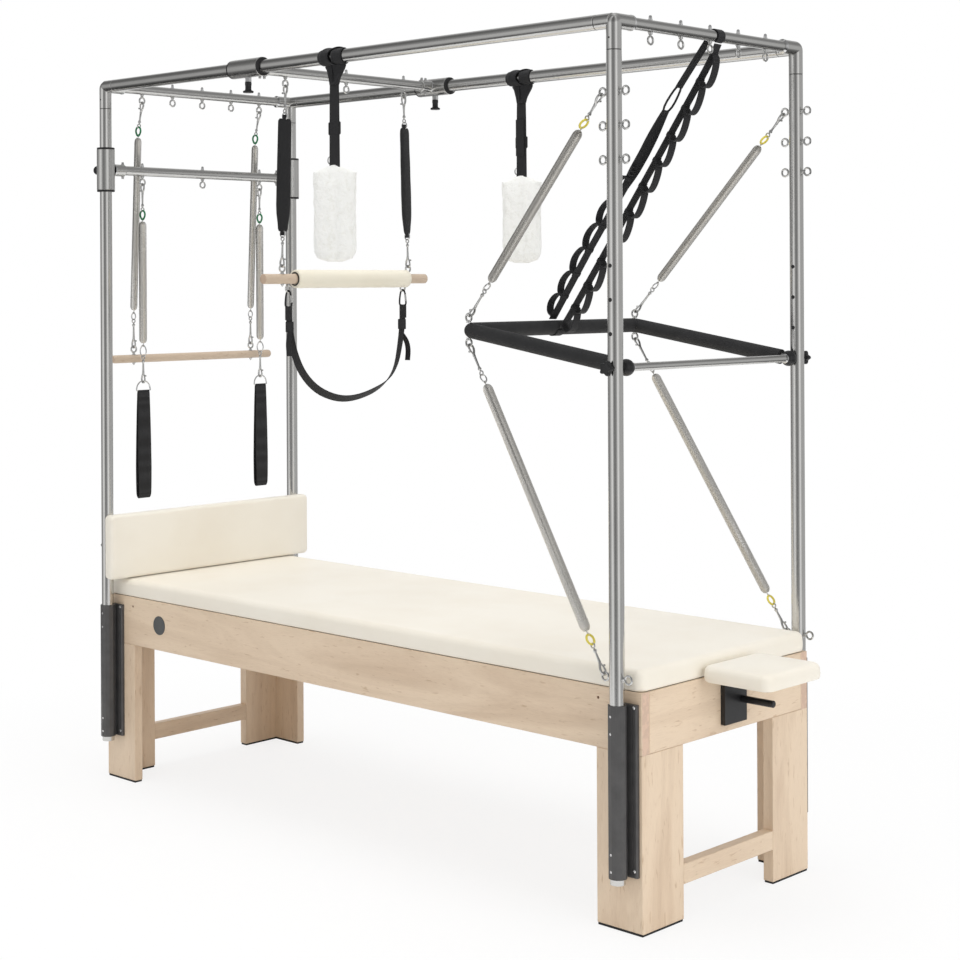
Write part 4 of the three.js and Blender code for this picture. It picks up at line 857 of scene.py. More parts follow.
    def cushion(self, centre: Points, basis: Points, half: Sequence[float], corner: float, edge: float, crown: float,
                finish: str, fine: int = 9, waist: float = 0.0, foot: float = 0.35) -> None:
        """A crowned rounded box: rounded rectangles whose inset and height run round the edge and over the crown.

        Args:
            centre: its middle.
            basis: rows are the directions of the three half sizes; the last one is crowned.
            half: half length, half width and half thickness.
            corner: the corner radius in plan.
            edge: the edge radius at the top.
            crown: how far the top's middle rises.
            finish: the finish's name.
            fine: steps round each quarter turn.
            waist: how far the walls pull in halfway up; a minus sign lets them swell.
            foot: the edge radius at the bottom, as a share of the top one.
        """
        a, b, c = half
        turn = np.linspace(0, math.pi / 2, fine + 1)
        low = edge * foot
        rise = np.linspace(0, 1, 7)[1:-1]
        over = np.array([0.03, 0.08, 0.16, 0.28, 0.45, 0.7, 0.97])
        inner = min(a, b)
        inset = np.concatenate([low * (1 - np.sin(turn)), waist * np.sin(math.pi * rise), edge * (1 - np.cos(turn)),
                                edge + (inner - edge) * over])
        height = np.concatenate([-c + low * (1 - np.cos(turn)), -c + low + (2 * c - low - edge) * rise,
                                 c - edge + edge * np.sin(turn), c + crown * (1 - (1 - over) ** 2.2)])
        radius = np.maximum(corner - inset, min(corner, 1.0) * 0.3)[:, None]
        quarter = np.repeat(np.arange(4), fine + 1)
        angle = math.pi / 2 * (quarter + np.tile(np.linspace(0, 1, fine + 1), 4))
        sx, sy = np.array([1, -1, -1, 1])[quarter], np.array([1, 1, -1, -1])[quarter]
        plan_x = sx * np.maximum(a - inset[:, None] - radius, 0) + radius * np.cos(angle)
        plan_y = sy * np.maximum(b - inset[:, None] - radius, 0) + radius * np.sin(angle)
        rings = np.stack([plan_x, plan_y, np.broadcast_to(height[:, None], plan_x.shape)], -1)
        self.loft(centre + rings @ np.asarray(basis, float), finish)

    def block(self, low: Points, high: Points, finish: str, ease: float = 1.0) -> None:
        """A box with eased edges.

        Args:
            low: one corner.
            high: the corner across from it.
            finish: the finish's name.
            ease: the radius of its edges.
        """
        half = np.abs(high - low) / 2
        self.cushion((low + high) / 2, np.eye(3), half, ease, ease, 0.0, finish, 3, foot=1.0)

    def make(self, name: str, body: str, replaces: Sequence[str] = (), slot: str | None = None, smooth: float = 40.0,
             span: tuple[Points, Points] | None = None) -> bpy.types.Object:
        """Makes the object, with its faces outwards and smooth up to an angle.

        Args:
            name: the piece's name.
            body: the CAD body that it rides on.
            replaces: the CAD nodes that it stands for.
            slot: the record's material slot.
            smooth: the sharpest angle, in degrees, that is shaded smooth.
            span: where it leaves the frame and where it reaches the body, for a piece that stretches between them.

        Returns:
            The new object, at the origin.
        """
        mesh = bpy.data.meshes.new(name)
        mesh.from_pydata(((np.vstack(self.points) + SHIFT) * METRES).tolist(), [], self.faces)
        for finish in self.finishes:
            mesh.materials.append(Palette.get(finish))
        mesh.polygons.foreach_set("material_index", self.slots)
        work = bmesh.new()
        work.from_mesh(mesh)
        bmesh.ops.recalc_face_normals(work, faces=work.faces)
        work.to_mesh(mesh)
        work.free()
        mesh.polygons.foreach_set("use_smooth", [True] * len(mesh.polygons))
        mesh.set_sharp_from_angle(angle=math.radians(smooth))
        made = bpy.data.objects.new(name, mesh)
        bpy.context.scene.collection.objects.link(made)
        if span is None:
            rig.ride(made, body)
        else:
            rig.blend(made, "frame", body, *(tuple((p + SHIFT) * METRES) for p in span))
        if replaces:
            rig.replaces(made, *replaces)
        if slot:
            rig.slot(made, slot)
        log.info("%s: %d faces on %s", name, len(mesh.polygons), body)
        return made


# Hardware that several sub-assemblies share


@dataclass(frozen=True)
class Eyebolt:
    """A ring on a stud through a tube, with a flange nut inside and a small domed nut outside."""

    reach: float = EYE_DROP
    surface: float = BAR_R
    capped: bool = True

    def build(self, piece: Piece, axis: Points, out: Points, normal: Points) -> None:
        """Adds the ring, the stud, the nut and the domed nut.

        Args:
            piece: the piece that it belongs to.
            axis: the point of the tube's axis that it goes through.
            out: the way that the ring hangs.
            normal: the normal of the ring's plane.
        """
        stud = self.reach - EYE_MAJOR - self.surface
        flange = [(7.4, -0.6), (7.4, 0.9), (5.6, 1.1), (5.4, 5.6), (4.4, 6.4), (2.9, 6.6), (2.9, stud - 1)]
        dome = [(5.6, -1.5), (5.6, 1.4), (4.6, 1.8), (4.4, 7), (3.6, 10), (1.8, 11.6), (0, 12)]
        piece.ring(axis + out * self.reach, normal, EYE_MAJOR, EYE_WIRE, "wire", steps=28)
        piece.turned(flange, axis + out * self.surface, out, "wire", 12)
        if self.capped:
            piece.turned(dome, axis - out * self.surface, -out, "bright", 12)


@dataclass(frozen=True)
class WoodEye:
    """A ring on a stud through a wooden bar, with a nut under it and, where it has one, a domed nut behind."""

    rise: float
    nut: Pairs
    dome: Pairs = ()

    def build(self, piece: Piece, middle: Points, out: Points) -> None:
        """Adds the ring and the nuts.

        Args:
            piece: the piece that it belongs to.
            middle: the point of the bar's axis that it goes through.
            out: the way that the ring stands.
        """
        piece.ring(middle + out * self.rise, X, EYE_MAJOR, EYE_WIRE, "wire")
        piece.turned(self.nut, middle, out, "wire", 12)
        if self.dome:
            piece.turned(self.dome, middle, -out, "wire", 12)


@dataclass(frozen=True)
class SnapHook:
    """A bolt snap: a claw round the hooked wire, a gate with a thumb stud, a shank and a swivel eye."""

    wire: float = 3.0
    eye: float = 5.8
    gate: Pairs = ((-6.2, 13.6), (-1.2, 28.0))
    thumb: Pairs = ((-5.2, 18.5), (-12.0, 17.0), (-12.2, 17.0))
    claw: Pairs = ((-6.0, 14.5), (-8.2, 8.0), (-7.8, 0.5), (-3.8, -5.2), (2.6, -5.4), (7.8, -0.8), (8.4, 8.0),
                   (5.6, 16.0), (1.4, 22.0), (0.0, 28.0))

    def build(self, piece: Piece, hooked: Points, held: Points, normal: Points) -> None:
        """Adds the hook.

        Args:
            piece: the piece that it belongs to.
            hooked: the middle of the wire that the claw holds.
            held: the middle of the wire in the swivel eye.
            normal: the normal of the claw's plane.
        """
        d = aimed(hooked, held)
        across = unit(np.cross(d, normal))
        neck = float(np.linalg.norm(held - hooked)) - 2 * self.eye - 3.5
        outlines = rounded(self.claw, 2), self.gate, self.thumb
        claw, gate, thumb = (in_plane(hooked, across, d, flat) for flat in outlines)
        swell = np.interp(np.linspace(0, 1, len(claw)), [0, 0.15, 0.75, 1], [0.7, 0.9, 1.05, 1.35]) * self.wire
        piece.tube(claw, swell, "wire", 8)
        piece.rod(gate[0], gate[1], FINE_WIRE, "wire", 0.4, 8)
        piece.rod(thumb[0], thumb[1], 1.8, "wire", 0.5, 8)
        piece.turned([(0, -1.4), (2.9, -0.9), (2.9, 0.9), (0, 1.4)], thumb[2], -across, "wire", 10)
        shank = [(3.0, 24), (4.0, 28), (3.4, 33), (2.8, neck - 9), (3.8, neck - 6), (4.9, neck - 4),
                 (4.9, neck - 0.8), (3.6, neck), (2.4, neck + 2.6)]
        piece.turned(shank, hooked, d, "wire", 12)
        piece.ring(held - d * (self.eye - 1.0), across, self.eye, FINE_WIRE, "wire", steps=18)


@dataclass(frozen=True)
class Spring:
    """A close-wound tension spring with drawn-in ends and a loop of its wire at each end."""

    od: float
    wire: float = 2.4
    lead: float = 7.0
    cone: float = 15.0
    neck: float = 1.6
    pitch: float = 1.04
    steps: int = 14

    def build(self, piece: Piece, a: Points, b: Points) -> None:
        """Winds it: centre + radius (u cos t + v sin t), the radius falling in a quarter circle at its ends.

        Args:
            piece: the piece that it belongs to.
            a: the middle of the wire that one end loop holds.
            b: the same at the other end.
        """
        d = aimed(a, b)
        u = unit(np.cross(d, Y if abs(d[1]) < 0.8 else X))
        v = np.cross(d, u)
        body = float(np.linalg.norm(b - a)) - 2 * self.lead
        turns = int(body / (self.wire * self.pitch))
        t = np.arange(turns * self.steps + 1) / self.steps
        along = self.lead + body * t / turns
        inward = np.clip(np.minimum(along - self.lead, self.lead + body - along) / self.cone, 0, 1)
        radius = self.neck + (self.od / 2 - self.wire / 2 - self.neck) * np.sqrt(1 - (1 - inward) ** 2)
        radial = u * np.cos(FULL * t)[:, None] + v * np.sin(FULL * t)[:, None]
        centre = a + d * along[:, None] + radial * radius[:, None]
        section = np.linspace(0, FULL, 6, endpoint=False)[None, :, None]
        around = radial[:, None] * np.cos(section) + d * np.sin(section)
        piece.loft(centre[:, None] + self.wire / 2 * around, "spring")
        loop = rounded([(self.lead + 2, 0), (2, 1.2), (-1, 3.2), (-4.0, 2.4), (-4.6, 0), (-3.6, -2.6), (-0.4, -2.8),
                        (2.4, 0)], 2)
        for end, way in ((a, d), (b, -d)):
            piece.tube(in_plane(end, way, u, loop), self.wire / 2, "spring", 8)


@dataclass(frozen=True)
class SpringLine:
    """Snap hook, coloured ring, spring, steel ring and snap hook in one line."""

    spring: Spring
    color: str
    point: float
    major: float = 12.5
    foot_major: float = STEEL_RING
    gap: float = 3.0

    def build(self, piece: Piece, hooks: tuple[Points, Points], rings: tuple[Points, Points], normal: Points) -> None:
        """Adds the line.

        Args:
            piece: the piece that it belongs to.
            hooks: where the upper and the lower claw hold.
            rings: the middles of the coloured ring and the steel ring.
            normal: the normal of the plane that the rings lie in.
        """
        (top, foot), (ring_top, ring_foot) = hooks, rings
        d, up, down = aimed(ring_top, ring_foot), aimed(top, ring_top), aimed(foot, ring_foot)
        hook = SnapHook()
        hook.build(piece, top, ring_top - up * (self.major - 1), normal)
        piece.ring(ring_top, normal, self.major, COLOR_WIRE, self.color, d, self.point, 40)
        self.spring.build(piece, ring_top + d * (self.major + self.gap), ring_foot - d * (self.foot_major + self.gap))
        piece.ring(ring_foot, normal, self.foot_major, FINE_WIRE, "bright", -d, 0.2, 40)
        hook.build(piece, foot, ring_foot - down * (self.foot_major - 0.9), normal)


# Sub-assemblies


@dataclass
class Canopy:
    """Posts with their holes and eyes, long tubes, corner fittings and end cross tubes."""

    down: float = 70.0
    along: float = 52.0
    across: float = 60.0
    hole: float = 5.2
    hole_pitch: float = 82.0
    holes: int = 4
    pin_hole: float = 3.9
    pin_holes: int = 3
    hole_sink: float = 0.2
    eye_heights: tuple[float, ...] = (HIGH_EYE, 1948.0, 1866.0, LOW_EYE)
    bend: float = 16.0
    straight: float = 22.0
    screw_drop: float = 42.0
    through: float = 0.4

    def build(self) -> None:
        """Makes the four posts, two cross tubes and two long tubes."""
        for end in End:
            for side in Side:
                self.post(end, side)
            self.cross_tube(end)
        reach = X * (POST_X - self.along - self.through)
        for side in Side:
            middle = at(0, side.value * POST_Y, TOP_Z)
            piece = Piece()
            piece.rod(middle - reach, middle + reach, TUBE_R, "tube_x", 0.8, 48)
            piece.make(f"long_tube_{side.name}", "frame", [f"top_tube_{side.name}"], "polished_tube", 35)

    def post(self, end: End, side: Side) -> None:
        """One post with its holes, drawn as black discs of painted shade, and on the foot end its eyes on both sides.

        Args:
            end: the end that it stands at.
            side: the side that it stands on.
        """
        base = at(end.value * POST_X, side.value * POST_Y, 0)
        seam = TOP_Z - self.down
        piece = Piece()
        piece.rod(base + Z * POST_FOOT, base + Z * (seam - 0.6), TUBE_R, "tube_z", 1.2, 48)
        piece.rod(base + Z * (seam - 2), base + Z * (seam + self.through), TUBE_R - 0.7, "seam", 0.0, 48)
        wall = TUBE_R - self.hole_sink
        if end is End.foot:
            # Each hole is a black disc: painted shade where the open hole is.
            for i in range(self.holes):
                for way in (-Y, Y):
                    piece.turned([(self.hole, -1), (self.hole, 0.25), (self.hole - 1, 0.35)],
                                 base + Z * (PIVOT_Z + self.hole_pitch * i) + way * wall, way, "black", 20)
            for z in self.eye_heights:
                for way in (-X, X):
                    Eyebolt(SIDE_EYE, TUBE_R, False).build(piece, base + Z * z, way, Y)
        else:
            # Each pin hole is a black disc: painted shade where the open hole is.
            for i in range(1, self.pin_holes + 1):
                piece.turned([(self.pin_hole, -1), (self.pin_hole, 0.25), (self.pin_hole - 0.7, 0.35)],
                             base + Z * (LIFT_Z - self.hole_pitch * i) - X * wall, -X, "black", 16)
        place = f"{end.name}_{side.name}"
        piece.make(f"post_tube_{place}", "frame", [f"post_{place}"], "polished_tube", 35)

    def cross_tube(self, end: End) -> None:
        """A cross tube with its two corner fittings and its row of eyebolts.

        Args:
            end: the end that it lies at.
        """
        middle = at(end.value * POST_X, 0, TOP_Z)
        inner = Y * (POST_Y - self.across)
        piece = Piece()
        piece.rod(middle - inner, middle + inner, BAR_R, "tube_y", 0, 40)
        lip = [(TUBE_R - 0.2, 0), (TUBE_R, 1), (TUBE_R + 0.9, 2), (TUBE_R + 0.9, 5), (TUBE_R - 1, 7),
               (BAR_R + 0.4, 9.5)]
        for side in Side:
            out, along = Y * side.value, X * end.value
            corner = middle + out * POST_Y
            bend = [corner - Z * (self.down - 0.6), corner - Z * self.straight, corner - Z * self.bend, corner,
                    corner - out * self.bend, corner - out * self.straight, corner - out * (self.across + 1)]
            piece.tube(rounded(bend, 3), TUBE_R, "tube_z", 40)
            piece.turned(lip, corner - out * self.across, -out, "bright", 40)
            piece.rod(corner - along * 4, corner - along * (self.along - 0.8), TUBE_R, "tube_x", 0.8, 48)
            seam = corner - along * self.along
            piece.rod(seam + along * 2, seam - along * 1.4, TUBE_R - 0.6, "seam", 0, 40)
            piece.turned([(2.4, -0.5), (2.4, 0.4)], corner - Z * self.screw_drop + out * TUBE_R, out, "seam", 12)
        for i in range(-2, 3):
            Eyebolt().build(piece, middle + Y * i * EYE_PITCH, -Z, X)
        piece.make(f"cross_tube_{end.name}", "frame", [f"top_end_{end.name}"], "polished_tube", 35)


@dataclass
class SlidingBar:
    """A crossbar between two sleeves that slide on tubes, with couplings, bolts and three eyes."""

    name: str
    body: str
    node: str
    middle: Points
    along: Points
    od: float
    half: float = 70.0
    lip: float = 6.0
    coupling: float = 319.0
    collar: float = 4.0
    level_bolts: tuple[float, ...] = (326.0, 343.0)
    upright_bolts: tuple[float, ...] = (322.0,)

    def build(self) -> None:
        """Makes the sleeves, the couplings, the bar and its eyes as one piece."""
        piece, r, h = Piece(), self.od / 2, self.half - self.lip
        level = abs(self.along[0]) > 0.5
        sleeve = [(r - 1.2, -h - 0.5), (r, -h + 0.6), (r, h - 0.6), (r - 1.2, h + 0.5)]
        bush = [(r - 1.6, 0), (r - 0.6, 0.8), (r - 0.6, 5.2), (r - 1.8, 6)]
        band = [(BAR_R + 4.4, 0), (BAR_R + 5.2, 1), (BAR_R + 5.2, 5), (BAR_R + 4.4, 6)]
        bolt = [(4.8, -1), (4.8, 2.2), (4.0, 3.4), (4.0, 7.4), (2.6, 8.4), (0, 8.6)]
        for side in Side:
            out = Y * side.value
            hub = self.middle + out * POST_Y
            piece.turned(sleeve, hub, self.along, "sleeve", 48)
            for way in (-self.along, self.along):
                piece.turned(bush, hub + way * h, way, "black", 40)
            piece.rod(self.middle + out * self.coupling, hub - out * (r - 2), BAR_R + self.collar, "tube_y", 1.5, 40)
            piece.turned(band, hub - out * (r + 4), out, "bright", 40)
            for y in self.level_bolts if level else self.upright_bolts:
                for up in (-Z, Z):
                    piece.turned(bolt, self.middle + out * y + up * (BAR_R + 3.6), up, "wire", 10)
            if level:
                piece.rod(hub - Z * (r - 2), hub - Z * (r + 13), 10, "bright", 1.2, 6)
            else:
                piece.rod(hub - X * (r - 2), hub - X * (r + 5), 9, "bright", 0.8, 24)
        reach = Y * (self.coupling + 3)
        piece.rod(self.middle - reach, self.middle + reach, BAR_R, "tube_y", 0, 40)
        for i in (-2, 0, 2):
            Eyebolt().build(piece, self.middle + Y * i * EYE_PITCH, -Z, X)
        piece.make(self.name, self.body, [self.node], "polished_tube", 35)


@dataclass
class Knobs:
    """Plunger knobs under the carriage, ball knobs on the crossbar and star knobs at the pivots."""

    plunger_start: float = 40.8
    ball_r: float = 14.75
    ball_reach: float = 57.0
    star_r: float = 19.0
    star_lobes: int = 5
    star_waist: float = 0.16
    pin_r: float = 3.6
    clear: float = 0.3
    stud: tuple[float, float] = (358.3, 420.0)
    stud_r: float = 4.9
    thread: tuple[float, float, float] = (408.5, 414.0, 1.7)

    def build(self) -> None:
        """Makes the six knobs."""
        for side in Side:
            self.plunger(side)
            self.ball(side)
            self.star(side)

    def plunger(self, side: Side) -> None:
        """A stem and a flange that is pulled down.

        Args:
            side: the carriage's side.
        """
        hub, s = at(CARRIAGE_X, side.value * POST_Y, TOP_Z), self.plunger_start
        grip = [(9.0, s), (9.75, s + 0.8), (9.75, s + 9), (9.0, s + 10), (9.0, s + 21), (10.5, s + 24),
                (14.6, s + 25.4), (15.5, s + 27), (15.5, s + 29.6), (14.4, s + 31), (0, s + 31)]
        piece = Piece()
        piece.turned(grip, hub, -Z, "black", 40)
        piece.rod(hub - Z * (TUBE_R + self.clear), hub - Z * (s + 2), self.pin_r, "wire", 0, 12)
        body = f"carriage_knob_{side.name}"
        piece.make(f"plunger_knob_{side.name}", body, [body], "black_plastic", 35)

    def ball(self, side: Side) -> None:
        """A ball knob on a short stem.

        Args:
            side: the crossbar's side.
        """
        hub, middle = at(-POST_X, side.value * POST_Y, LIFT_Z), self.ball_reach - self.ball_r
        angle = np.linspace(-0.95, math.pi / 2, 12)
        ball = np.stack([self.ball_r * np.cos(angle), middle + self.ball_r * np.sin(angle)], 1)
        piece = Piece()
        piece.turned(np.vstack([[(8, 33.8), (8, 34.4)], ball]), hub, -X, "black", 40)
        piece.rod(hub - X * (TUBE_R + self.clear), hub - X * 35, self.pin_r, "wire", 0, 12)
        body = f"lift_knob_{side.name}"
        piece.make(f"ball_knob_{side.name}", body, [body], "black_plastic", 35)

    def star(self, side: Side) -> None:
        """A five-lobed knob: radius star_r (1 + waist (cos 5a - 1)), eased at both faces.

        Args:
            side: the pivot's side.
        """
        pivot, out = at(POST_X, 0, PIVOT_Z), Y * side.value
        piece = Piece()
        piece.rod(pivot + out * self.stud[0], pivot + out * self.stud[1], self.stud_r, "wire", 0, 16)
        for y in np.arange(*self.thread):
            piece.turned([(self.stud_r, -0.7), (5.6, 0), (self.stud_r, 0.7)], pivot + out * y, out, "wire", 14)
        angle = np.linspace(0, FULL, 60, endpoint=False)
        lobes = self.star_r * (1 + self.star_waist * (np.cos(self.star_lobes * angle) - 1))
        level = np.array([413.5, 414.8, 416.5, 424.5, 427.2, 428.2, 428.3])[:, None, None]
        share = np.array([0.78, 0.93, 1.0, 1.0, 0.93, 0.76, 0.3])[:, None, None]
        outline = X * (lobes * np.cos(angle))[:, None] + Z * (lobes * np.sin(angle))[:, None]
        piece.loft(pivot + out * level + outline[None] * share, "black")
        piece.turned([(9, 406.5), (9.4, 407.2), (10.4, 414)], pivot, out, "black", 32)
        body = f"star_knob_{side.name}"
        piece.make(f"star_grip_{side.name}", body, [body], "black_plastic", 35)


@dataclass
class PushBar:
    """The push-through bar: bent tube, pivot balls, rod, foam sleeve and its four springs."""

    steel_r: float = 12.5
    foam_r: float = 20.0
    rod_r: float = 10.0
    hub_r: float = 21.0
    bend: float = 22.0
    foam_start: float = 24.0
    corner_eye: float = 33.0
    collar: float = 14.0
    upper_od: float = 25.0
    lower_od: float = 27.5
    upper_reach: float = 86.0
    lower_reach: float = 96.0
    fixed: float = 20.0  # how much of a spring's hooks stays with what they hold when the bar swings

    def pivot(self, s: float) -> Points:
        """The pivot on one side."""
        return at(POST_X, s * PUSH_Y, PIVOT_Z)

    def corner(self, s: float) -> Points:
        """The bar's corner on one side."""
        return at(PUSH_X, s * PUSH_Y, PUSH_Z)

    def bent(self, start: float) -> Points:
        """The bar's centre line: straight arms joined to the crossbar by quadratic curves at the corners.

        Args:
            start: how far past each pivot it begins.

        Returns:
            The points, from one pivot to the other.
        """
        arm = aimed(self.pivot(1), self.corner(1))
        share = np.linspace(0, 1, 9)[:, None]
        curves = []
        for s in (-1, 1):
            c = self.corner(s)
            a, b = c - arm * self.bend, c - Y * s * self.bend
            curve = (1 - share) ** 2 * a + 2 * share * (1 - share) * c + share ** 2 * b
            curves.append(curve if s < 0 else curve[::-1])
        return np.vstack([self.pivot(-1) + arm * start, *curves, self.pivot(1) + arm * start])

    def build(self) -> None:
        """Makes the frame, the foam and the springs."""
        self.steel()
        self.foam()
        for side in Side:
            self.coil(side, "upper", HIGH_EYE, 1, self.upper_od)
            self.coil(side, "lower", LOW_EYE, -1, self.lower_od)

    def steel(self) -> None:
        """The bent tube, the rod between the pivots, their balls and collars, and the corner eyes."""
        piece = Piece()
        piece.tube(self.bent(0), self.steel_r, "tube_x", 32)
        piece.rod(self.pivot(-1), self.pivot(1), self.rod_r, "tube_y", 0, 32)
        turn = np.linspace(-math.pi / 2, math.pi / 2, 17)
        ball = np.stack([self.hub_r * np.cos(turn), self.hub_r * np.sin(turn)], 1)
        collar = [(10.4, 0), (13.2, 1.5), (13.2, 6), (10.6, 8)]
        for side in Side:
            pivot, out = self.pivot(side.value), Y * side.value
            piece.turned(ball, pivot, out, "black", 40)
            piece.turned(collar, pivot - out * self.collar, -out, "bright", 32)
            for up in (-Z, Z):
                Eyebolt(self.corner_eye, self.foam_r, False).build(piece, self.corner(side.value), up, Y)
        piece.make("push_frame", "push", ["push_bar"], "polished_tube", 35)

    def foam(self) -> None:
        """The foam sleeve, with a rounded lip at each end."""
        piece = Piece()
        path = self.bent(self.foam_start)
        piece.tube(path, self.foam_r, "foam", 36)
        arm = aimed(self.pivot(1), self.corner(1))
        for end in (path[0], path[-1]):
            piece.turned([(19.7, -0.5), (20.15, 0.6), (20.15, 2.6), (19.7, 3.6)], end, arm, "foam", 36)
        piece.make("push_foam", "push", ["push_bar_foam"], "foam", 50)

    def coil(self, side: Side, level: str, z: float, up: int, od: float) -> None:
        """One spring from the post's inner eye to the bar's corner eye.

        Args:
            side: the side that it hangs on.
            level: its place, in its name.
            z: the height of the post's eye.
            up: 1 for the corner's upper eye and -1 for its lower one.
            od: the spring's outer diameter.
        """
        start = at(POST_X - SIDE_EYE, side.value * POST_Y, z)
        end = self.corner(side.value) + Z * up * self.corner_eye
        d = aimed(start, end)
        flat = unit(at(d[0], 0, d[2]))
        top, foot = start + flat * EYE_MAJOR, end - flat * EYE_MAJOR
        line = aimed(top, foot)
        piece = Piece()
        rings = top + line * self.upper_reach, foot - line * self.lower_reach
        SpringLine(Spring(od), "yellow", 0.04).build(piece, (top, foot), rings, unit(np.cross(line, Y)))
        piece.make(f"push_coil_{level}_{side.name}", "push", [f"push_spring_{level}_{side.name}"], "spring_steel", 50,
                   (top + line * self.fixed, foot - line * self.fixed))


@dataclass
class RollDown:
    """The wooden roll-down bar and its two springs."""

    x: float = -1089.0
    z: float = 1331.0
    r: float = 13.0
    half: float = 330.0
    eye_y: float = 245.0
    ring_x: float = -1059.0
    upper_reach: float = 86.0
    lower_reach: float = 96.0
    od: float = 24.0

    def build(self) -> None:
        """Makes the bar with its eyes and pointed tips, and a spring line on each side."""
        bar = at(self.x, 0, self.z)
        end = [(0, 0), (5, 0), (9.4, 1.4), (12, 4.4), (self.r, 8.5)]
        profile = [(r, -self.half + h) for r, h in end] + [(r, self.half - h) for r, h in reversed(end)]
        piece = Piece()
        piece.turned(profile, bar, Y, "dowel", 40)
        eye = WoodEye(self.r + 5 + EYE_MAJOR + EYE_WIRE,
                      ((6.4, 12.6), (6.4, 14), (4.8, 14.4), (4.8, 17.4), (2.8, 18), (2.8, 21)),
                      ((6.2, 12), (6.2, 13.6), (4.4, 14.2), (3.8, 17), (1.2, 20.6), (0, 21.2)))
        for side in Side:
            spot = bar + Y * side.value * self.eye_y
            eye.build(piece, spot, Z)
            top = at(-POST_X, spot[1], TOP_Z - EYE_DROP - EYE_MAJOR)
            foot = spot + Z * (eye.rise + EYE_MAJOR)
            rings = at(self.ring_x, spot[1], top[2] - self.upper_reach), foot + Z * self.lower_reach
            line = Piece()
            SpringLine(Spring(self.od), "green", 0.3).build(line, (top, foot), rings, Y)
            line.make(f"rolldown_coil_{side.name}", "rolldown", [f"rolldown_spring_{side.name}"], "spring_steel", 50)
        piece.make("rolldown_dowel", "rolldown", ["rolldown_bar"], "dowel_wood", 35)


@dataclass
class HandleStraps:
    """The two springs on the crossbar with their D rings and webbing handles."""

    y: float = 245.0
    upper_reach: float = 94.0
    lower_reach: float = 96.0
    od: float = 26.0
    ring: float = 16.0
    d_top: float = 1260.0
    foot: float = 882.0
    d_half: float = 27.0
    d_drop: float = 32.0
    d_wire: float = 2.1
    thick: float = 2.8
    stitches: Pairs = ((-46.0, 4.1), (-50.0, 4.1), (-96.0, 5.7), (-100.0, 5.7))
    stitch_half: float = 19.0
    thread_r: float = 0.45

    def build(self) -> None:
        """Makes a spring line and a handle on each side."""
        for side in Side:
            top = at(-POST_X, side.value * self.y, LIFT_Z - EYE_DROP - EYE_MAJOR)
            foot = at(-POST_X, side.value * self.y, self.d_top)
            rings = top - Z * self.upper_reach, foot + Z * self.lower_reach
            piece = Piece()
            SpringLine(Spring(self.od), "green", 0.3, foot_major=self.ring).build(piece, (top, foot), rings, Y)
            body, node = f"handle_{side.name}", f"handle_spring_{side.name}"
            piece.make(f"handle_coil_{side.name}", body, [node], "spring_steel", 50)
            self.webbing(side, foot)

    def webbing(self, side: Side, top: Points) -> None:
        """A D ring and a sewn loop that hangs flat, wider in the hand and bowed by its own stiffness.

        Args:
            side: the side that it hangs on.
            top: the point of the D ring that the hook holds.
        """
        piece = Piece()
        outline = rounded([(0, 0), (-0.45, -0.04), (-0.86, -0.36), (-1, -0.78), (-1, -1), (1, -1), (1, -0.78),
                           (0.86, -0.36), (0.45, -0.04)], 2, True)
        piece.tube(in_plane(top, Y * self.d_half, Z * self.d_drop, outline), self.d_wire, "bright", 10, True)
        drop = self.foot - self.d_top + 1.5
        half = [(0, drop), (4.6, drop + 2.6), (7.4, drop + 12), (7.6, drop + 60), (5.6, drop * 0.6), (4.2, -90),
                (3.2, -60), (2.7, -42), (2.6, -33)]
        loop = rounded([*half, (0, -28.8), *[(-u, v) for u, v in reversed(half[1:])]], 2, True)
        width = np.interp(loop[:, 1], [drop, drop + 14, drop * 0.72, drop * 0.5, -40, -28], [44, 48, 52, 51, 45, 43])
        piece.band(in_plane(top, X, Z, loop), Y, width, self.thick, "strap", True)
        for v, out in self.stitches:
            for way in (-X, X):
                spot = top + way * out + Z * v
                piece.rod(spot - Y * self.stitch_half, spot + Y * self.stitch_half, self.thread_r, "stitch", 0, 6)
        body = f"handle_loop_{side.name}"
        piece.make(f"handle_webbing_{side.name}", body, [body], "strap", 40)


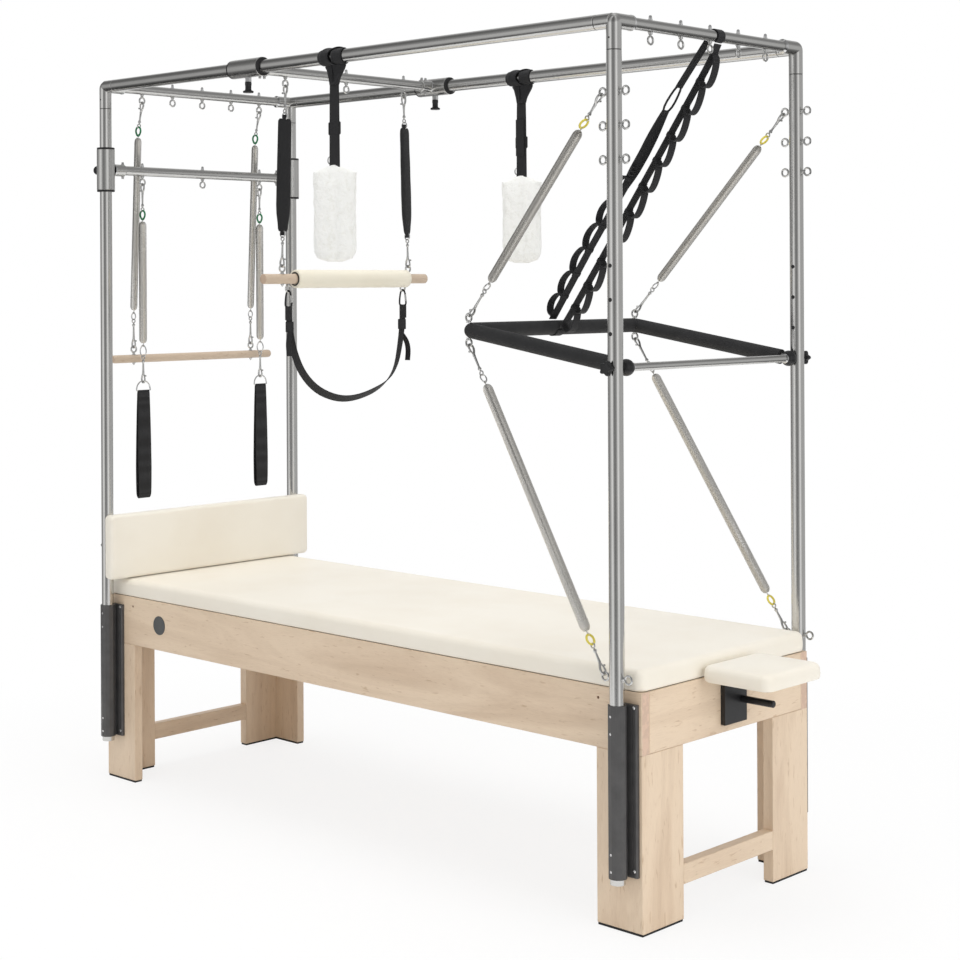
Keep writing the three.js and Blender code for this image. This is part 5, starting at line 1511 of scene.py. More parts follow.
@dataclass
class Trapeze:
    """Wooden bar, cream roll, padded hangers, dark carabiners and the webbing sling."""

    z: float = 1586.0
    r: float = 15.0
    half: float = 335.0
    roll_r: float = 27.5
    roll_half: float = 232.5
    roll_y: float = 20.5
    hanger_y: float = 245.0
    foot_y: float = 261.0
    sling_y: float = 237.0
    ring_top: float = 2069.0
    ring_low: float = 1719.0
    hanger_eye: float = 31.0
    hanger_turn: float = 12.0
    sling_eye: float = 29.0
    sling_low: float = 1216.2
    sling_width: float = 25.0
    pear: Pairs = ((-4.5, 0), (-11, -11), (-15, -38), (-13, -49), (13, -49), (15, -38), (11, -11), (4.5, 0))
    catenary: Pairs = ((-1, 0), (-0.985, 0.2), (-0.93, 0.44), (-0.8, 0.68), (-0.56, 0.87), (-0.25, 0.975), (0.05, 1.0),
                       (0.4, 0.945), (0.7, 0.84), (0.87, 0.68), (0.95, 0.42), (0.99, 0.2), (1, 0))

    def build(self) -> None:
        """Makes the bar, the roll, the hangers and the sling."""
        self.bar()
        self.roll()
        for side in Side:
            self.hanger(side)
        self.sling()

    def bar(self) -> None:
        """The dowel with its eyes: two above for the hangers and two below for the sling."""
        bar, r, h = at(CARRIAGE_X, 0, self.z), self.r, self.half
        piece = Piece()
        piece.turned([(0, -h), (r - 1.6, -h), (r - 0.5, -h + 0.6), (r, -h + 1.8), (r, h - 1.8), (r - 0.5, h - 0.6),
                      (r - 1.6, h), (0, h)], bar, Y, "dowel", 44)
        upper = WoodEye(self.hanger_eye, ((7, 14.6), (7, 16), (5, 16.4), (5, 19), (2.8, 20), (2.8, 22)),
                        ((6.4, 14.2), (6.4, 15.8), (4.4, 16.4), (3.8, 19), (1.2, 22.4), (0, 23)))
        lower = WoodEye(self.sling_eye, ((5.4, 14.2), (5.4, 16), (2.8, 17), (2.8, 20)))
        for side in Side:
            upper.build(piece, bar + Y * side.value * self.foot_y, Z)
            lower.build(piece, bar + Y * side.value * self.sling_y, -Z)
        piece.make("trapeze_dowel", "trapeze", ["trapeze_bar"], "dowel_wood", 35)

    def roll(self) -> None:
        """The cream roll, very slightly uneven, with a dark edge at each end."""
        r, h, waves = self.roll_r, self.roll_half, 25
        wavy = np.stack([r - 0.1 + 0.35 * np.sin(1.9 * np.arange(waves)), np.linspace(-h + 4, h - 4, waves)], 1)
        profile = np.vstack([[(15.6, -h + 1.5), (18, -h), (r - 4, -h + 0.3), (r - 1.2, -h + 1.4)], wavy,
                             [(r - 1.2, h - 1.4), (r - 4, h - 0.3), (18, h), (15.6, h - 1.5)]])
        piece = Piece()
        middle = at(CARRIAGE_X, self.roll_y, self.z)
        piece.turned(profile, middle, Y, "roll", 48)
        for way in (-Y, Y):
            piece.ring(middle + way * (h - 0.4), Y, 19.0, 2.2, "black", steps=40)
        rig.padded(piece.make("trapeze_padding", "trapeze", ["trapeze_roll"], "vinyl", 45), fill=0.85)

    def hanger(self, side: Side) -> None:
        """A flat padded sleeve between two rings, square at the top and drawn in at its foot.

        Its section is a superellipse, whose half width and half depth change along the sleeve.

        Args:
            side: the side that it hangs on.
        """
        hook = at(CARRIAGE_X, side.value * self.hanger_y, TOP_Z - EYE_DROP - EYE_MAJOR)
        foot = at(CARRIAGE_X, side.value * self.foot_y, self.z + self.hanger_eye + EYE_MAJOR)
        line = aimed(hook, foot)
        top, low = (hook + line * (hook[2] - z) / -line[2] for z in (self.ring_top, self.ring_low))
        piece = Piece()
        SnapHook().build(piece, hook, top - line * (STEEL_RING - 1), Y)
        SnapHook().build(piece, foot, low + line * (STEEL_RING - 1), Y)
        for middle in (top, low):
            piece.ring(middle, Y, STEEL_RING, FINE_WIRE, "bright")
        share = np.linspace(0, 1, 60)
        wide = np.interp(share, [0, 0.006, 0.02, 0.3, 0.6, 0.76, 0.84, 0.93, 0.99, 1],
                         [17.5, 20.5, 21.5, 22, 22.6, 23, 21.5, 17, 15, 13])
        deep = np.interp(share, [0, 0.01, 0.05, 0.5, 0.8, 0.97, 1], [2.6, 4.4, 6.0, 7.4, 7.2, 5, 2.8])
        start, end = top + line * (STEEL_RING - 2.5), low - line * (STEEL_RING - 2.5)
        turn = math.radians(-side.value * self.hanger_turn)
        across = unit(Y * math.cos(turn) + X * math.sin(turn) - line * (Y @ line))
        depth = np.cross(line, across)
        cx, sx = squared(np.linspace(0, FULL, 36, endpoint=False), 0.42, 0.7)
        middle = start + (end - start) * share[:, None]
        soft = 1 + 0.05 * np.sin(share * 23.0)
        piece.loft(middle[:, None] + across * (wide[:, None] * cx)[:, :, None]
                   + depth * ((deep * soft)[:, None] * sx)[:, :, None], "pad")
        for way in (-across, across):
            piece.tube(middle[1:-1] + way * (wide[1:-1, None] + 0.2), 0.9, "stitch", 6)
        for spot in (top + line * 4, low - line * 4):
            piece.band(np.array([spot - line * 8, spot, spot + line * 8]), across, 16, 5.0, "strap")
        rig.padded(piece.make(f"hanger_{side.name}", "trapeze", [f"trapeze_strap_{side.name}"], "strap", 45), fill=0.5)

    def sling(self) -> None:
        """Two carabiners and an adjustable webbing loop with its slide buckles and loose ends."""
        piece = Piece()
        top = self.z - self.sling_eye - EYE_MAJOR + 4.2
        foot = top - 50
        pear = rounded(self.pear, 2, True)
        for side in Side:
            spot = at(CARRIAGE_X, side.value * self.sling_y, top)
            piece.tube(in_plane(spot, X, Z, pear), 2.7, "black", 10, True)
            piece.rod(spot + at(14.2, 0, -36), spot + at(11, 0, -14), 3.2, "wire", 0.6, 12)
        drop = foot + 0.5 - self.sling_low
        line = rounded(np.array(self.catenary) * [self.sling_y, -drop] + [0, foot + 1.8], 2)
        twist = np.interp(line[:, 0], [-237, -200, -120, 120, 200, 237], [0.0, 0.35, 0.15, -0.1, -0.35, 0.0])
        upright = np.interp(line[:, 0], [-237, -200, -110, 110, 200, 237], [0.0, 0.2, 1.2, 1.2, 0.2, 0.0])
        across = X * np.cos(twist)[:, None] + Y * np.sin(twist)[:, None] + Z * upright[:, None]
        piece.band(in_plane(X * CARRIAGE_X, Y, Z, line), across, self.sling_width, 2.8, "strap")
        for s in (-1, 1):
            spot = at(CARRIAGE_X, s * self.sling_y, foot - 16)
            piece.band(np.array([spot + Z * 18, spot, spot - Z * 22]) + X * 0.5, X, self.sling_width + 1, 6.0, "strap")
            buckle = at(CARRIAGE_X, s * (self.sling_y - 4), foot - 58)
            piece.block(buckle - at(15, 4.2, 16), buckle + at(15, 4.2, 16), "black", 2)
            tail = np.array([(4, -3, -4), (10, 10, -24), (12, 16, -52), (12, 12, -86)]) * [1, s, 1]
            piece.band(rounded(buckle + tail + (Z * -28 if s > 0 else 0), 2), X + Y * 0.2, 19, 1.8, "strap")
        piece.make("sling_webbing", "sling", ["sling"], "strap", 45)


@dataclass
class Cuffs:
    """Lambswool loops pressed flat, each on a strap that is hitched round a long tube."""

    x: float = 41.0
    top: float = 1900.0
    length: float = 268.0
    turn: float = 35.0
    strap_top: float = 2140.0
    strap_foot: float = 1894.0
    buckle_z: float = 2002.0
    buckle_half: tuple[float, float] = (22.0, 16.0)
    buckle_wire: float = 2.8
    ring_z: float = 1914.0
    rows: int = 110
    columns: int = 128
    relief: float = 1.9
    waves: int = 70

    def build(self) -> None:
        """Makes both cuffs from one seeded run of random numbers."""
        draw = np.random.default_rng(SEED)
        for side in Side:
            self.cuff(side, draw)

    def cuff(self, side: Side, draw: np.random.Generator) -> None:
        """A hitch, a strap with its buckle and a flattened tube of fleece.

        Args:
            side: the tube that it hangs from.
            draw: the random numbers.
        """
        axis = at(self.x, side.value * POST_Y, TOP_Z)
        piece = Piece()
        self.hitch(piece, axis)
        down = axis + Z * (np.linspace(self.strap_top, self.strap_foot, 12) - TOP_Z)[:, None]
        piece.band(down, X, np.interp(np.linspace(0, 1, 12), [0, 0.3, 1], [34, 37, 40]), 4.6, "strap")
        piece.band(down[3:9] - Y * side.value * 3.6 - X * 3, X, 34.0, 2.6, "strap")
        buckle, (wide, tall) = at(self.x, axis[1], self.buckle_z), self.buckle_half
        for h in (0.5 - tall, 0, tall - 0.5):
            bar = buckle + Z * h
            piece.rod(bar - X * wide, bar + X * wide, self.buckle_wire, "black", 0.8, 12)
        for way in (-X, X):
            bar = buckle + way * (wide - 0.4)
            piece.rod(bar - Z * tall, bar + Z * tall, self.buckle_wire, "black", 0.8, 12)
        piece.ring(at(self.x - 18, axis[1], self.ring_z), Y, EYE_MAJOR, FINE_WIRE, "bright")
        piece.loft(self.fleece(axis, draw), "fleece")
        body = f"cuff_{side.name}"
        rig.padded(piece.make(f"lambswool_cuff_{side.name}", body, [body], "fleece", 60), fill=0.4)

    def hitch(self, piece: Piece, axis: Points) -> None:
        """Two turns of webbing round the tube, a crossing one, and the fold that gathers them into the strap.

        Args:
            piece: the piece that it belongs to.
            axis: the point of the long tube inside it.
        """
        r = TUBE_R + 2.0
        angle = np.linspace(0, FULL, 48, endpoint=False)
        for offset, lean, lift in ((-21.0, 5.0, 0.0), (23.0, -5.0, 0.0), (2.0, 22.0, 2.6)):
            turn = axis + X * (offset + lean * np.sin(angle))[:, None] + (r + lift) * (
                Y * np.sin(angle)[:, None] + Z * np.cos(angle)[:, None])
            piece.band(turn, X, 42.0 if lift == 0 else 34.0, 2.8, "strap", True)
        share = np.linspace(0, 1, 30)
        z = axis[2] - r + 2 - share * 58
        half = np.interp(share, [0, 0.12, 0.35, 0.7, 1], [36, 42, 34, 23, 17.5])
        lean = np.interp(share, [0, 0.3, 1], [4, 6, 0])
        angle = np.linspace(0, FULL, 40, endpoint=False)
        cx, sx = squared(angle, 0.5, 0.7)
        folds = 5.5 + 1.8 * np.sin(3 * angle[None] + 5 * share[:, None])
        middle = at(self.x, axis[1], 0) + Z * z[:, None]
        wide = (half[:, None] * cx[None] + lean[:, None])[:, :, None]
        piece.loft(middle[:, None] + X * wide + Y * (folds * sx[None])[:, :, None], "strap")
        edge = middle + X * (lean - half * 0.2)[:, None] - Y * 8.0
        piece.tube(edge[2:26], 1.7, "strap", 8)

    def fleece(self, axis: Points, draw: np.random.Generator) -> Points:
        """A flattened tube: superellipses of changing width and depth, pushed out by random waves.

        Args:
            axis: the point of the long tube above it.
            draw: the random numbers.

        Returns:
            A grid of rows by columns of points.
        """
        turn = math.radians(self.turn)
        wide, deep = at(math.cos(turn), math.sin(turn), 0), at(-math.sin(turn), math.cos(turn), 0)
        share = np.linspace(0, 1, self.rows)
        w = np.interp(share, [0, 0.02, 0.07, 0.2, 0.45, 0.72, 0.9, 0.965, 1], [24, 48, 61, 60, 58, 59.5, 58, 48, 20])
        t = np.interp(share, [0, 0.02, 0.08, 0.2, 0.45, 0.72, 0.9, 0.97, 1], [6, 14, 20, 25, 27, 27, 25, 19, 7])
        angle = np.linspace(0, FULL, self.columns, endpoint=False)
        cx, sx = squared(angle, 0.66, 0.8)
        crease = 1 - 0.22 * np.exp(-((cx - 0.15) / 0.14) ** 2)
        height = self.top - self.length * share
        droop = 9 * np.exp(-(share / 0.05) ** 2)[:, None] * cx[None] ** 2
        middle = at(axis[0], axis[1], 0) + Z * height[:, None]
        rings = middle[:, None] + wide * (w[:, None] * cx)[:, :, None] + deep * (t[:, None] * sx * crease)[:, :, None]
        rings = rings - Z * droop[:, :, None]
        k, m = draw.integers(2, 15, self.waves), draw.integers(2, 17, self.waves)
        p, q = draw.uniform(0, FULL, self.waves), draw.uniform(0, FULL, self.waves)
        lumps = np.einsum("rw,cw->rc", np.sin(share[:, None] * math.pi * k + p), np.sin(angle[:, None] * m + q))
        lumps = lumps / np.abs(lumps).max() + 0.35 * draw.uniform(-1, 1, (self.rows, self.columns))
        out = rings - rings.mean(1, keepdims=True)
        out /= np.maximum(np.linalg.norm(out, axis=2, keepdims=True), 1e-6)
        return rings + out * (lumps * self.relief)[:, :, None]


@dataclass
class LoopStrap:
    """The doubled webbing ladder from the foot cross tube to the push-through bar.

    It is drawn in a plane: u runs down the strap, and v to its lower side, where its loops hang.
    """

    y: float = 27.0
    shift: float = -29.0
    width: float = 30.0
    thick: float = 2.5
    bow: float = 29.0
    lower: Pairs = ((0.015, 16.0), (0.05, 20.0), (0.12, 22.0), (0.6, 24.0), (0.9, 23.0), (0.985, 21.0))
    upper: Pairs = ((0.015, -15.0), (0.17, -24.0), (0.27, -25.0), (0.4, -20.0), (0.5, -21.0), (0.75, -24.0),
                    (0.985, -21.0))
    lower_marks: tuple[float, ...] = (0.045, 0.129, 0.217, 0.305, 0.39, 0.477, 0.565, 0.65, 0.738, 0.824, 0.905, 0.975)
    upper_marks: tuple[float, ...] = (0.49, 0.57, 0.655, 0.74, 0.825, 0.905, 0.975)
    hanging: Pairs = ((0.0, 0.0), (0.02, 0.30), (0.18, 0.60), (0.44, 0.86), (0.74, 1.04), (1.0, 1.02), (1.13, 0.72),
                      (1.08, 0.30), (1.0, 0.0))
    standing: Pairs = ((0.0, 0.0), (-0.08, 0.34), (0.04, 0.70), (0.26, 0.92), (0.52, 1.0), (0.78, 0.86), (0.98, 0.52),
                       (1.0, 0.0))
    link: tuple[float, float] = (0.175, 0.262)
    buckle: float = 0.46
    buckle_half: tuple[float, float] = (17.0, 12.0)
    fixed: float = 40.0  # how much of each end stays with its tube when the bar swings

    @property
    def top(self) -> Points:
        """The middle of the foot cross tube."""
        return at(POST_X, 0, TOP_Z)

    @property
    def foot(self) -> Points:
        """The middle of the push-through bar."""
        return at(PUSH_X, 0, PUSH_Z)

    @property
    def span(self) -> float:
        """The distance between the two tubes."""
        return float(np.linalg.norm(self.foot - self.top))

    def place(self, flat: Points) -> Points:
        """Points of the strap's plane, moved sideways in step with their X.

        Args:
            flat: a pair (u, v) a row.

        Returns:
            One point a row.
        """
        down = aimed(self.top, self.foot)
        points = in_plane(self.top + Y * self.y, down, np.cross(down, Y), flat)
        return points + Y * (self.shift / (PUSH_X - POST_X)) * (points[:, :1] - POST_X)

    def off(self, run: Pairs, share: Points) -> Points:
        """How far a run lies from the strap's middle line, at a share of its span."""
        return np.interp(share, [a for a, _ in run], [o for _, o in run])

    def build(self) -> None:
        """Makes the runs, the loops, the link and the buckle as one piece."""
        piece = Piece()
        quarter = math.pi / 2
        for centre, radius, start, stop in ((0.0, BAR_R + 2.0, quarter * 0.55, quarter * 3.45),
                                            (self.span, 21.8, -quarter * 1.2, quarter * 1.2)):
            angle = np.linspace(start, stop, 26)
            flat = np.stack([centre + radius * np.cos(angle), radius * np.sin(angle)], 1)
            piece.band(self.place(flat), Y, self.width, self.thick, "strap")
        low = rounded([(a * self.span, o) for a, o in self.lower], 2)
        piece.band(self.place(low), Y, self.width, self.thick, "strap")
        share = np.linspace(self.upper[0][0], self.link[0] + 0.008, 16)
        self.run(piece, share, np.zeros(16))
        share = np.linspace(self.link[1] - 0.004, self.upper[-1][0], 60)
        twist = np.interp(share, [self.link[1], 0.36, 0.45, 0.52], [0.0, 0.75, 0.75, 0.0])
        self.run(piece, share, twist)
        self.loops(piece, self.lower, self.lower_marks, self.hanging, 1)
        self.loops(piece, self.upper, self.upper_marks, self.standing, -1)
        self.hardware(piece)
        held = aimed(self.top, self.foot) * self.fixed
        piece.make("ladder_strap", "push", ["loop_strap"], "strap", 45, (self.top + held, self.foot - held))

    def run(self, piece: Piece, share: Points, twist: Points) -> None:
        """A stretch of the upper run, turned about its own line.

        Args:
            piece: the piece that it belongs to.
            share: its points, as shares of the span.
            twist: how far it is turned at each, in radians.
        """
        flat = np.stack([share * self.span, self.off(self.upper, share)], 1)
        out = np.cross(aimed(self.top, self.foot), Y)
        across = Y * np.cos(twist)[:, None] + out * np.sin(twist)[:, None]
        piece.band(self.place(flat), across, self.width, self.thick, "strap")

    def loops(self, piece: Piece, run: Pairs, marks: Sequence[float], shape: Pairs, way: int) -> None:
        """Sewn loops between neighbouring marks, each with a stitched tack where it starts.

        Args:
            piece: the piece that they belong to.
            run: the run that they are sewn to.
            marks: where they are sewn down, as shares of the span.
            shape: a loop's line, as shares of its length and of the bow.
            way: 1 below the strap and -1 above it.
        """
        for start, end in zip(marks[:-1], marks[1:]):
            share = start + (end - start) * np.array([s for s, _ in shape])
            bow = np.array([b for _, b in shape]) * self.bow + 1.2
            flat = np.stack([share * self.span, self.off(run, share) + way * bow], 1)
            piece.band(self.place(rounded(flat, 2)), Y, self.width - 1.5, 2.2, "strap")
            u, v = start * self.span, self.off(run, start)
            piece.band(self.place(np.array([(u - 5, v), (u, v), (u + 5, v)])), Y, self.width + 0.6, 5.4, "strap")

    def hardware(self, piece: Piece) -> None:
        """The four-sided wire link and the ladder buckle on the upper run.

        Args:
            piece: the piece that they belong to.
        """
        a, b = self.link
        v = float(self.off(self.upper, (a + b) / 2))
        head, foot = self.place(np.array([(a * self.span, v), (b * self.span, v)]))
        outline = rounded([head - Y * 13, head + Y * 13, foot + Y * 20, foot - Y * 20], 2, True)
        piece.tube(outline, 2.9, "black", 12, True)
        centre = self.place(np.array([(self.buckle * self.span, float(self.off(self.upper, self.buckle)))]))[0]
        wide, tall = Y * self.buckle_half[0], aimed(self.top, self.foot) * self.buckle_half[1]
        for middle in (centre - tall, centre, centre + tall):
            piece.rod(middle - wide, middle + wide, 2.8, "black", 1.0, 12)
        for middle in (centre - wide, centre + wide):
            piece.rod(middle - tall, middle + tall, 2.8, "black", 1.0, 12)


@dataclass
class Upholstery:
    """The mat, the upright head pad with its bolts and the end cushion."""

    mat_half: tuple[float, float] = (1084.4, 352.0)
    mat_z: tuple[float, float] = (585.3, 637.6)
    pad_half: float = 411.0
    pad_z: tuple[float, float] = (640.6, 843.0)
    pad_thick: float = 36.0
    bolt_z: float = 743.0
    cushion_x: tuple[float, float] = (1095.0, 1297.0)
    cushion_y: tuple[float, float] = (-131.0, 111.0)
    cushion_z: tuple[float, float] = (580.0, 621.0)
    under_inset: float = 3.2
    under_half: float = 0.9

    def build(self) -> None:
        """Makes the three cushions."""
        (low, high), (a, b) = self.mat_z, self.mat_half
        mat, under = (a, b, (high - low) / 2), (a - self.under_inset, b - self.under_inset, self.under_half)
        piece = Piece()
        piece.cushion(at(0, 0, (low + high) / 2), np.eye(3), mat, 24, 19, 2.6, "leather", 10, -1.0)
        piece.cushion(at(0, 0, low + 1.0), np.eye(3), under, 20, 0.4, 0.0, "black", 4)
        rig.padded(piece.make("mat_cover", "frame", ["mat"], "vinyl", 60), fill=0.9)
        self.head_pad()
        middle = at(sum(self.cushion_x) / 2, sum(self.cushion_y) / 2, sum(self.cushion_z) / 2)
        size = [(b - a) / 2 for a, b in (self.cushion_x, self.cushion_y, self.cushion_z)]
        piece = Piece()
        piece.cushion(middle, np.eye(3), size, 26, 17, 4.0, "leather", 10, -0.8)
        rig.padded(piece.make("end_cushion_cover", "frame", ["end_cushion"], "vinyl", 60), fill=0.9)

    def head_pad(self) -> None:
        """The pad against the head posts, with a bolt and a nut at each post."""
        low, high = self.pad_z
        back = -(POST_X - TUBE_R - 0.3)
        piece = Piece()
        piece.cushion(at(back + self.pad_thick / 2, 0, (low + high) / 2), np.array([Y, Z, X]),
                      (self.pad_half, (high - low) / 2, self.pad_thick / 2), 15, 11, 3.0, "leather", 9, -0.6)
        for side in Side:
            spot = at(-POST_X, side.value * POST_Y, self.bolt_z)
            piece.rod(spot + X * 26, spot - X * 32.5, 4.0, "wire", 0.6, 14)
            piece.rod(spot - X * 19.3, spot - X * 26.3, 8.0, "bright", 0.8, 6)
        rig.padded(piece.make("head_pad_cover", "frame", ["head_pad"], "vinyl", 60), fill=0.9)


@dataclass
class Fasteners:
    """Bracket screws, set screws, rail bolts and the bare round badge."""

    flange_half: float = 32.0
    flange_z: tuple[float, float] = (550.0, 158.0)
    set_z: tuple[float, ...] = (531.0, 489.0, 200.0, 159.0)
    set_lean: float = 0.12
    clamp_r: float = 23.0
    flange_out: float = 9.9
    bolt_x: float = 951.0
    bolt_z: float = 556.0
    bolt_sink: float = 8.6
    badge: tuple[float, float, float] = (-815.0, 512.0, 29.0)

    def build(self) -> None:
        """Makes the screws of each end, the badge and the rail bolts."""
        for end in End:
            self.screws(end)
        x, z, r = self.badge
        piece = Piece()
        piece.turned([(r, -0.4), (r, 1.2), (r - 0.8, 1.9), (r - 2.4, 2.0), (r - 2.8, 1.5), (0, 1.5)],
                     at(x, -TABLE_HALF_WIDTH, z), -Y, "badge", 64)
        piece.make("round_badge", "frame", (), "dark_coat", 30)
        bolt = [(3.8, 0), (3.8, 0.6), (2.6, 1.0), (0, 1.0)]
        piece = Piece()
        for x in (-self.bolt_x, self.bolt_x):
            for out in (-Y, Y):
                piece.turned(bolt, at(x, 0, self.bolt_z) + out * (TABLE_HALF_WIDTH - self.bolt_sink), out, "black", 20)
        piece.make("rail_bolts", "frame", (), "dark_coat", 30)

    def screws(self, end: End) -> None:
        """The screws of two brackets: those through their flanges, and the set screws against the post.

        Args:
            end: the end that the brackets are at.
        """
        screw = [(4.6, 0), (4.6, 0.9), (3.6, 2.2), (2.1, 2.6), (2.0, 1.4), (0, 1.4)]
        grub = [(3.0, -0.4), (3.0, 0.3), (1.6, 0.35), (1.5, -0.3), (0, -0.3)]
        middle = at(end.value * POST_X, 0, 0)
        piece = Piece()
        for side in Side:
            wall = Y * side.value
            for across in (-X, X):
                for z in self.flange_z:
                    spot = middle + across * self.flange_half + wall * (TABLE_HALF_WIDTH + self.flange_out) + Z * z
                    piece.turned(screw, spot, wall, "bright", 20)
            out = unit(wall - X * self.set_lean * end.value)
            for z in self.set_z:
                piece.turned(grub, middle + wall * POST_Y + Z * z + out * self.clamp_r, out, "bright", 16)
        piece.make(f"bracket_screws_{end.name}", "frame", (), "polished_tube", 30)


@dataclass
class CarriedNodes:
    """The CAD nodes that stay, each with its own finish."""

    finishes: tuple[tuple[str, str], ...] = (
        ("side_rail", "wood_x"), ("deck", "wood_x"), ("end_rail", "wood_y"), ("stretcher", "wood_y"),
        ("leg_", "wood_z"), ("foot_", "rubber"), ("bracket_", "dark"), ("end_cushion_bracket", "black"))
    metal: tuple[str, ...] = ("dark", "black")
    smooth: float = math.radians(50)

    def dress(self, nodes: dict[str, bpy.types.Object]) -> None:
        """Sets each node's material, and smooths the round faces of the metal ones.

        Args:
            nodes: the CAD nodes by name.
        """
        for name, obj in nodes.items():
            finish = next((f for start, f in self.finishes if name.startswith(start)), None)
            if finish is None:
                continue
            obj.data.materials.clear()
            obj.data.materials.append(Palette.get(finish))
            if finish in self.metal:
                obj.data.polygons.foreach_set("use_smooth", [True] * len(obj.data.polygons))
                obj.data.set_sharp_from_angle(angle=self.smooth)
            log.info("%s: %s", name, finish)


# The studio


@dataclass
class Studio:
    """The photograph's camera, a white floor, a white surround and three soft lamps."""

    position: tuple[float, float, float] = (3.7772, -3.8684, 1.5702)
    yaw: float = math.radians(44.06)
    pitch: float = math.radians(0.04)
    roll: float = math.radians(-0.28)
    lens: float = 69.88
    shift: tuple[float, float] = (0.0253, -0.2061)
    clip: tuple[float, float] = (0.1, 60.0)
    floor_r: float = 2.7
    floor_points: int = 96
    floor_fade: float = 1.5
    floor_white: float = 0.82
    mirrored: float = 0.3
    level: float = 0.66
    lamps: tuple[tuple, ...] = (("top", (-0.4, -0.2, 5.7), (-0.2, 0, 0.6), 150.0, 4.0),
                                ("right", (5.2, -0.7, 2.1), (0, 0, 0.6), 74.0, 3.0),
                                ("front", (-1.5, -5.0, 3.0), (-0.2, 0, 0.7), 16.0, 3.0))
    around: Pairs = ((0.0, 1.0), (0.06, 0.9), (0.11, 0.30), (0.19, 0.26), (0.27, 0.6), (0.325, 1.0), (0.36, 0.95),
                     (0.39, 0.45), (0.44, 0.2), (0.49, 0.3), (0.535, 0.5), (0.565, 1.0), (0.60, 1.0), (0.64, 0.55),
                     (0.70, 0.5), (0.78, 0.55), (0.85, 0.42), (0.93, 0.85), (1.0, 1.0))
    upwards: Pairs = ((0.0, 0.25), (0.2, 0.14), (0.33, 0.5), (0.38, 1.0), (0.62, 1.0), (0.68, 0.66), (0.8, 0.55),
                      (0.92, 0.62), (0.97, 0.85), (1.0, 0.9))

    def build(self) -> None:
        """Makes the camera, the floor, the world and the lamps."""
        self.camera()
        self.floor()
        self.world()
        for lamp in self.lamps:
            self.lamp(*lamp)
        bpy.context.scene.view_settings.view_transform = "Standard"

    def camera(self) -> None:
        """Sets the camera from the fit to the posts, tubes, legs and rails."""
        data = bpy.data.cameras.new("camera")
        data.sensor_width, data.lens = 36.0, self.lens
        data.shift_x, data.shift_y = self.shift
        data.clip_start, data.clip_end = self.clip
        flat = math.cos(self.pitch)
        ahead = Vector((-math.sin(self.yaw) * flat, math.cos(self.yaw) * flat, math.sin(self.pitch)))
        level = Vector((math.cos(self.yaw), math.sin(self.yaw), 0))
        upright = level.cross(ahead)
        r = level * math.cos(self.roll) + upright * math.sin(self.roll)
        u = upright * math.cos(self.roll) - level * math.sin(self.roll)
        obj = bpy.data.objects.new("camera", data)
        obj.matrix_world = Matrix([(r[i], u[i], -ahead[i], self.position[i]) for i in range(3)] + [(0, 0, 0, 1)])
        bpy.context.scene.collection.objects.link(obj)
        bpy.context.scene.camera = obj

    def floor(self) -> None:
        """A round white floor, radius (cos a, sin a), whose rim fades into the white surround."""
        mesh = bpy.data.meshes.new("floor")
        angle = np.linspace(0, FULL, self.floor_points, endpoint=False)[:, None]
        rim = self.floor_r * (X * np.cos(angle) + Y * np.sin(angle))
        mesh.from_pydata(rim.tolist(), [], [list(range(self.floor_points))])
        obj = bpy.data.objects.new("floor", mesh)
        bpy.context.scene.collection.objects.link(obj)
        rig.stage(obj)
        paint = Shader("floor_paint", (0.94, 0.94, 0.94), 0.8)
        glow = paint.node("ShaderNodeEmission", Color=(1, 1, 1, 1), Strength=1.0)
        seen = self.seen(paint)
        where = paint.node("ShaderNodeTexCoord")
        far = paint.node("ShaderNodeVectorMath", operation="LENGTH")
        paint.link(where.outputs["Object"], far.inputs[0])
        fade = paint.node("ShaderNodeMapRange", interpolation_type="SMOOTHSTEP")
        fade.inputs["From Min"].default_value = self.floor_fade
        fade.inputs["From Max"].default_value = self.floor_r - 0.1
        fade.inputs["To Min"].default_value = self.floor_white
        paint.link(far.outputs["Value"], fade.inputs["Value"])
        share = paint.node("ShaderNodeMath", operation="MULTIPLY")
        paint.link(fade.outputs["Result"], share.inputs[0])
        paint.link(seen, share.inputs[1])
        mix = paint.node("ShaderNodeMixShader")
        paint.link(share.outputs[0], mix.inputs[0])
        paint.link(paint.bsdf.outputs[0], mix.inputs[1])
        paint.link(glow.outputs[0], mix.inputs[2])
        paint.link(mix.outputs[0], paint.tree.nodes["Material Output"].inputs["Surface"])
        mesh.materials.append(paint.material)

    def seen(self, shader: Shader) -> object:
        """The share of plain white in each kind of ray: all of it seen straight or through glass, part in a reflection.

        Args:
            shader: the floor's shader.

        Returns:
            The share's output.
        """
        path = shader.node("ShaderNodeLightPath")
        part = shader.node("ShaderNodeMath", operation="MULTIPLY")
        part.inputs[1].default_value = self.mirrored
        shader.link(path.outputs["Is Glossy Ray"], part.inputs[0])
        first = shader.node("ShaderNodeMath", operation="MAXIMUM")
        shader.link(path.outputs["Is Camera Ray"], first.inputs[0])
        shader.link(part.outputs[0], first.inputs[1])
        both = shader.node("ShaderNodeMath", operation="MAXIMUM")
        shader.link(first.outputs[0], both.inputs[0])
        shader.link(path.outputs["Is Transmission Ray"], both.inputs[1])
        return both.outputs[0]

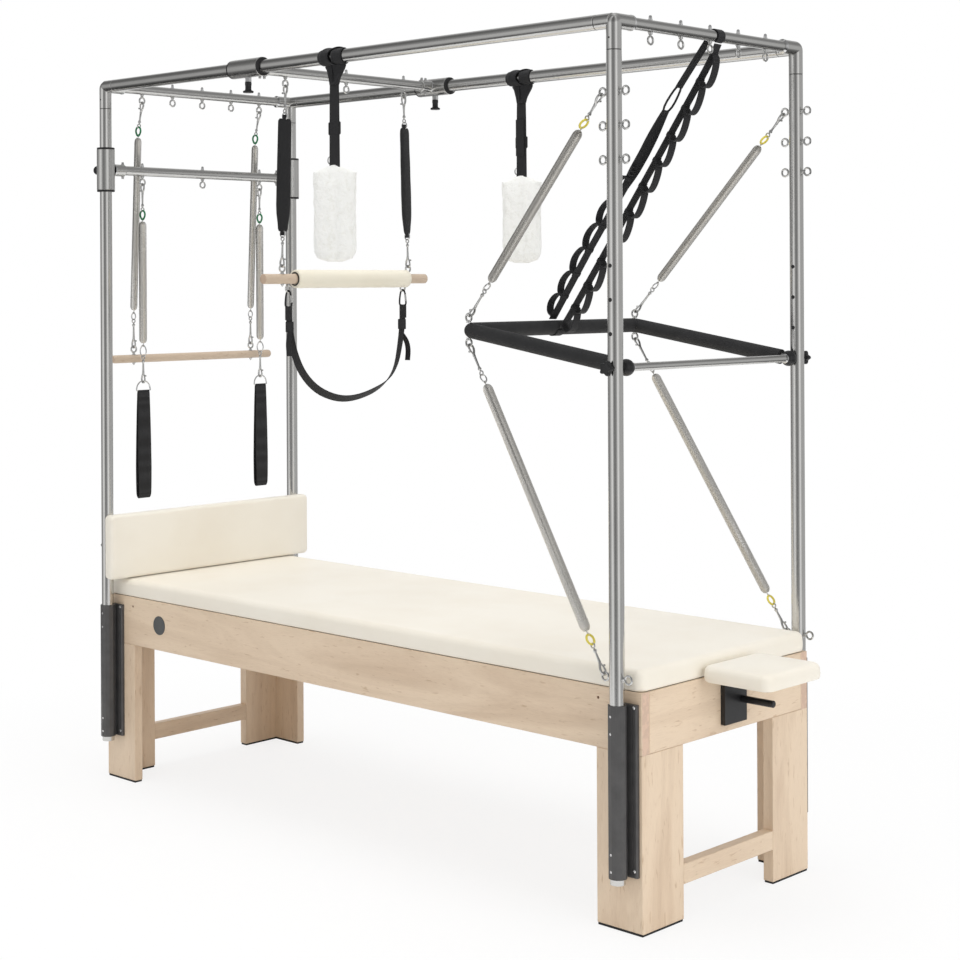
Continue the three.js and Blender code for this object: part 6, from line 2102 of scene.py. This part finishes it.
    def ramp(self, tree: bpy.types.NodeTree, source: object, stops: Pairs) -> object:
        """A grey ramp.

        Args:
            tree: the nodes that it joins.
            source: the output that drives it.
            stops: pairs of place and grey.

        Returns:
            The colour output.
        """
        made = tree.nodes.new("ShaderNodeValToRGB")
        elements = made.color_ramp.elements
        for element, (place, value) in zip(elements, (stops[0], stops[-1])):
            element.position, element.color = place, (value, value, value, 1)
        for place, value in stops[1:-1]:
            elements.new(place).color = (value, value, value, 1)
        tree.links.new(source, made.inputs["Fac"])
        return made.outputs["Color"]

    def world(self) -> None:
        """White to the camera, grey to matt surfaces, and to metal a white backdrop with dark flags round it."""
        world = bpy.data.worlds.new("surround")
        bpy.context.scene.world = world
        world.use_nodes = True
        tree = world.node_tree
        link, add = tree.links.new, tree.nodes.new
        where, turn, around = add("ShaderNodeTexCoord"), add("ShaderNodeMapping"), add("ShaderNodeTexGradient")
        around.gradient_type = "RADIAL"
        turn.inputs["Rotation"].default_value = (0, 0, math.pi / 2 - self.yaw)
        link(where.outputs["Generated"], turn.inputs["Vector"])
        link(turn.outputs["Vector"], around.inputs["Vector"])
        split, half = add("ShaderNodeSeparateXYZ"), add("ShaderNodeMath")
        half.operation = "MULTIPLY_ADD"
        half.inputs[1].default_value, half.inputs[2].default_value = 0.5, 0.5
        link(where.outputs["Generated"], split.inputs["Vector"])
        link(split.outputs[2], half.inputs[0])
        flags, light, white = (add("ShaderNodeMix") for _ in range(3))
        for mix in (flags, light, white):
            mix.data_type = "RGBA"
        flags.blend_type = "MULTIPLY"
        flags.inputs[MIX_FACTOR].default_value = 1.0
        link(self.ramp(tree, around.outputs["Fac"], self.around), flags.inputs[MIX_A])
        link(self.ramp(tree, half.outputs[0], self.upwards), flags.inputs[MIX_B])
        path = add("ShaderNodeLightPath")
        light.inputs[MIX_A].default_value = (self.level, self.level, self.level, 1)
        link(path.outputs["Is Glossy Ray"], light.inputs[MIX_FACTOR])
        link(flags.outputs[MIX_RESULT], light.inputs[MIX_B])
        white.inputs[MIX_B].default_value = (1, 1, 1, 1)
        link(path.outputs["Is Camera Ray"], white.inputs[MIX_FACTOR])
        link(light.outputs[MIX_RESULT], white.inputs[MIX_A])
        link(white.outputs[MIX_RESULT], tree.nodes["Background"].inputs["Color"])

    def lamp(self, name: str, place: Sequence[float], target: Sequence[float], power: float, size: float) -> None:
        """A square soft lamp that metal doesn't mirror.

        Args:
            name: its name.
            place: where it hangs.
            target: what it faces.
            power: its power, in watts.
            size: its side, in metres.
        """
        light = bpy.data.lights.new(name, "AREA")
        light.energy, light.size = power, size
        obj = bpy.data.objects.new(name, light)
        obj.location = place
        obj.rotation_mode = "QUATERNION"
        obj.rotation_quaternion = (Vector(target) - Vector(place)).to_track_quat("-Z", "Y")
        obj.visible_glossy = False
        bpy.context.scene.collection.objects.link(obj)


def main() -> None:
    """Builds the studio and every sub-assembly in order, and writes the two boxes."""
    logging.basicConfig(level=logging.INFO, format="%(name)s: %(message)s")
    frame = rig.load()
    cad_box = [list(v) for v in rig.bounds()]
    Studio().build()
    CarriedNodes().dress(frame["nodes"])
    for assembly in (
        Canopy(),
        SlidingBar("carriage_bar", "carriage", "top_carriage", at(CARRIAGE_X, 0, TOP_Z), X, CARRIAGE_SLEEVE),
        SlidingBar("height_bar", "lift", "lift_bar", at(-POST_X, 0, LIFT_Z), Z, LIFT_SLEEVE),
        Knobs(),
        PushBar(),
        RollDown(),
        HandleStraps(),
        Trapeze(),
        Cuffs(),
        LoopStrap(),
        Upholstery(),
        Fasteners(),
    ):
        assembly.build()
    with open("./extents.json", "w") as out:
        json.dump({"cad": cad_box, "visual": [list(v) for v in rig.bounds()]}, out)


if __name__ == "__main__":
    main()
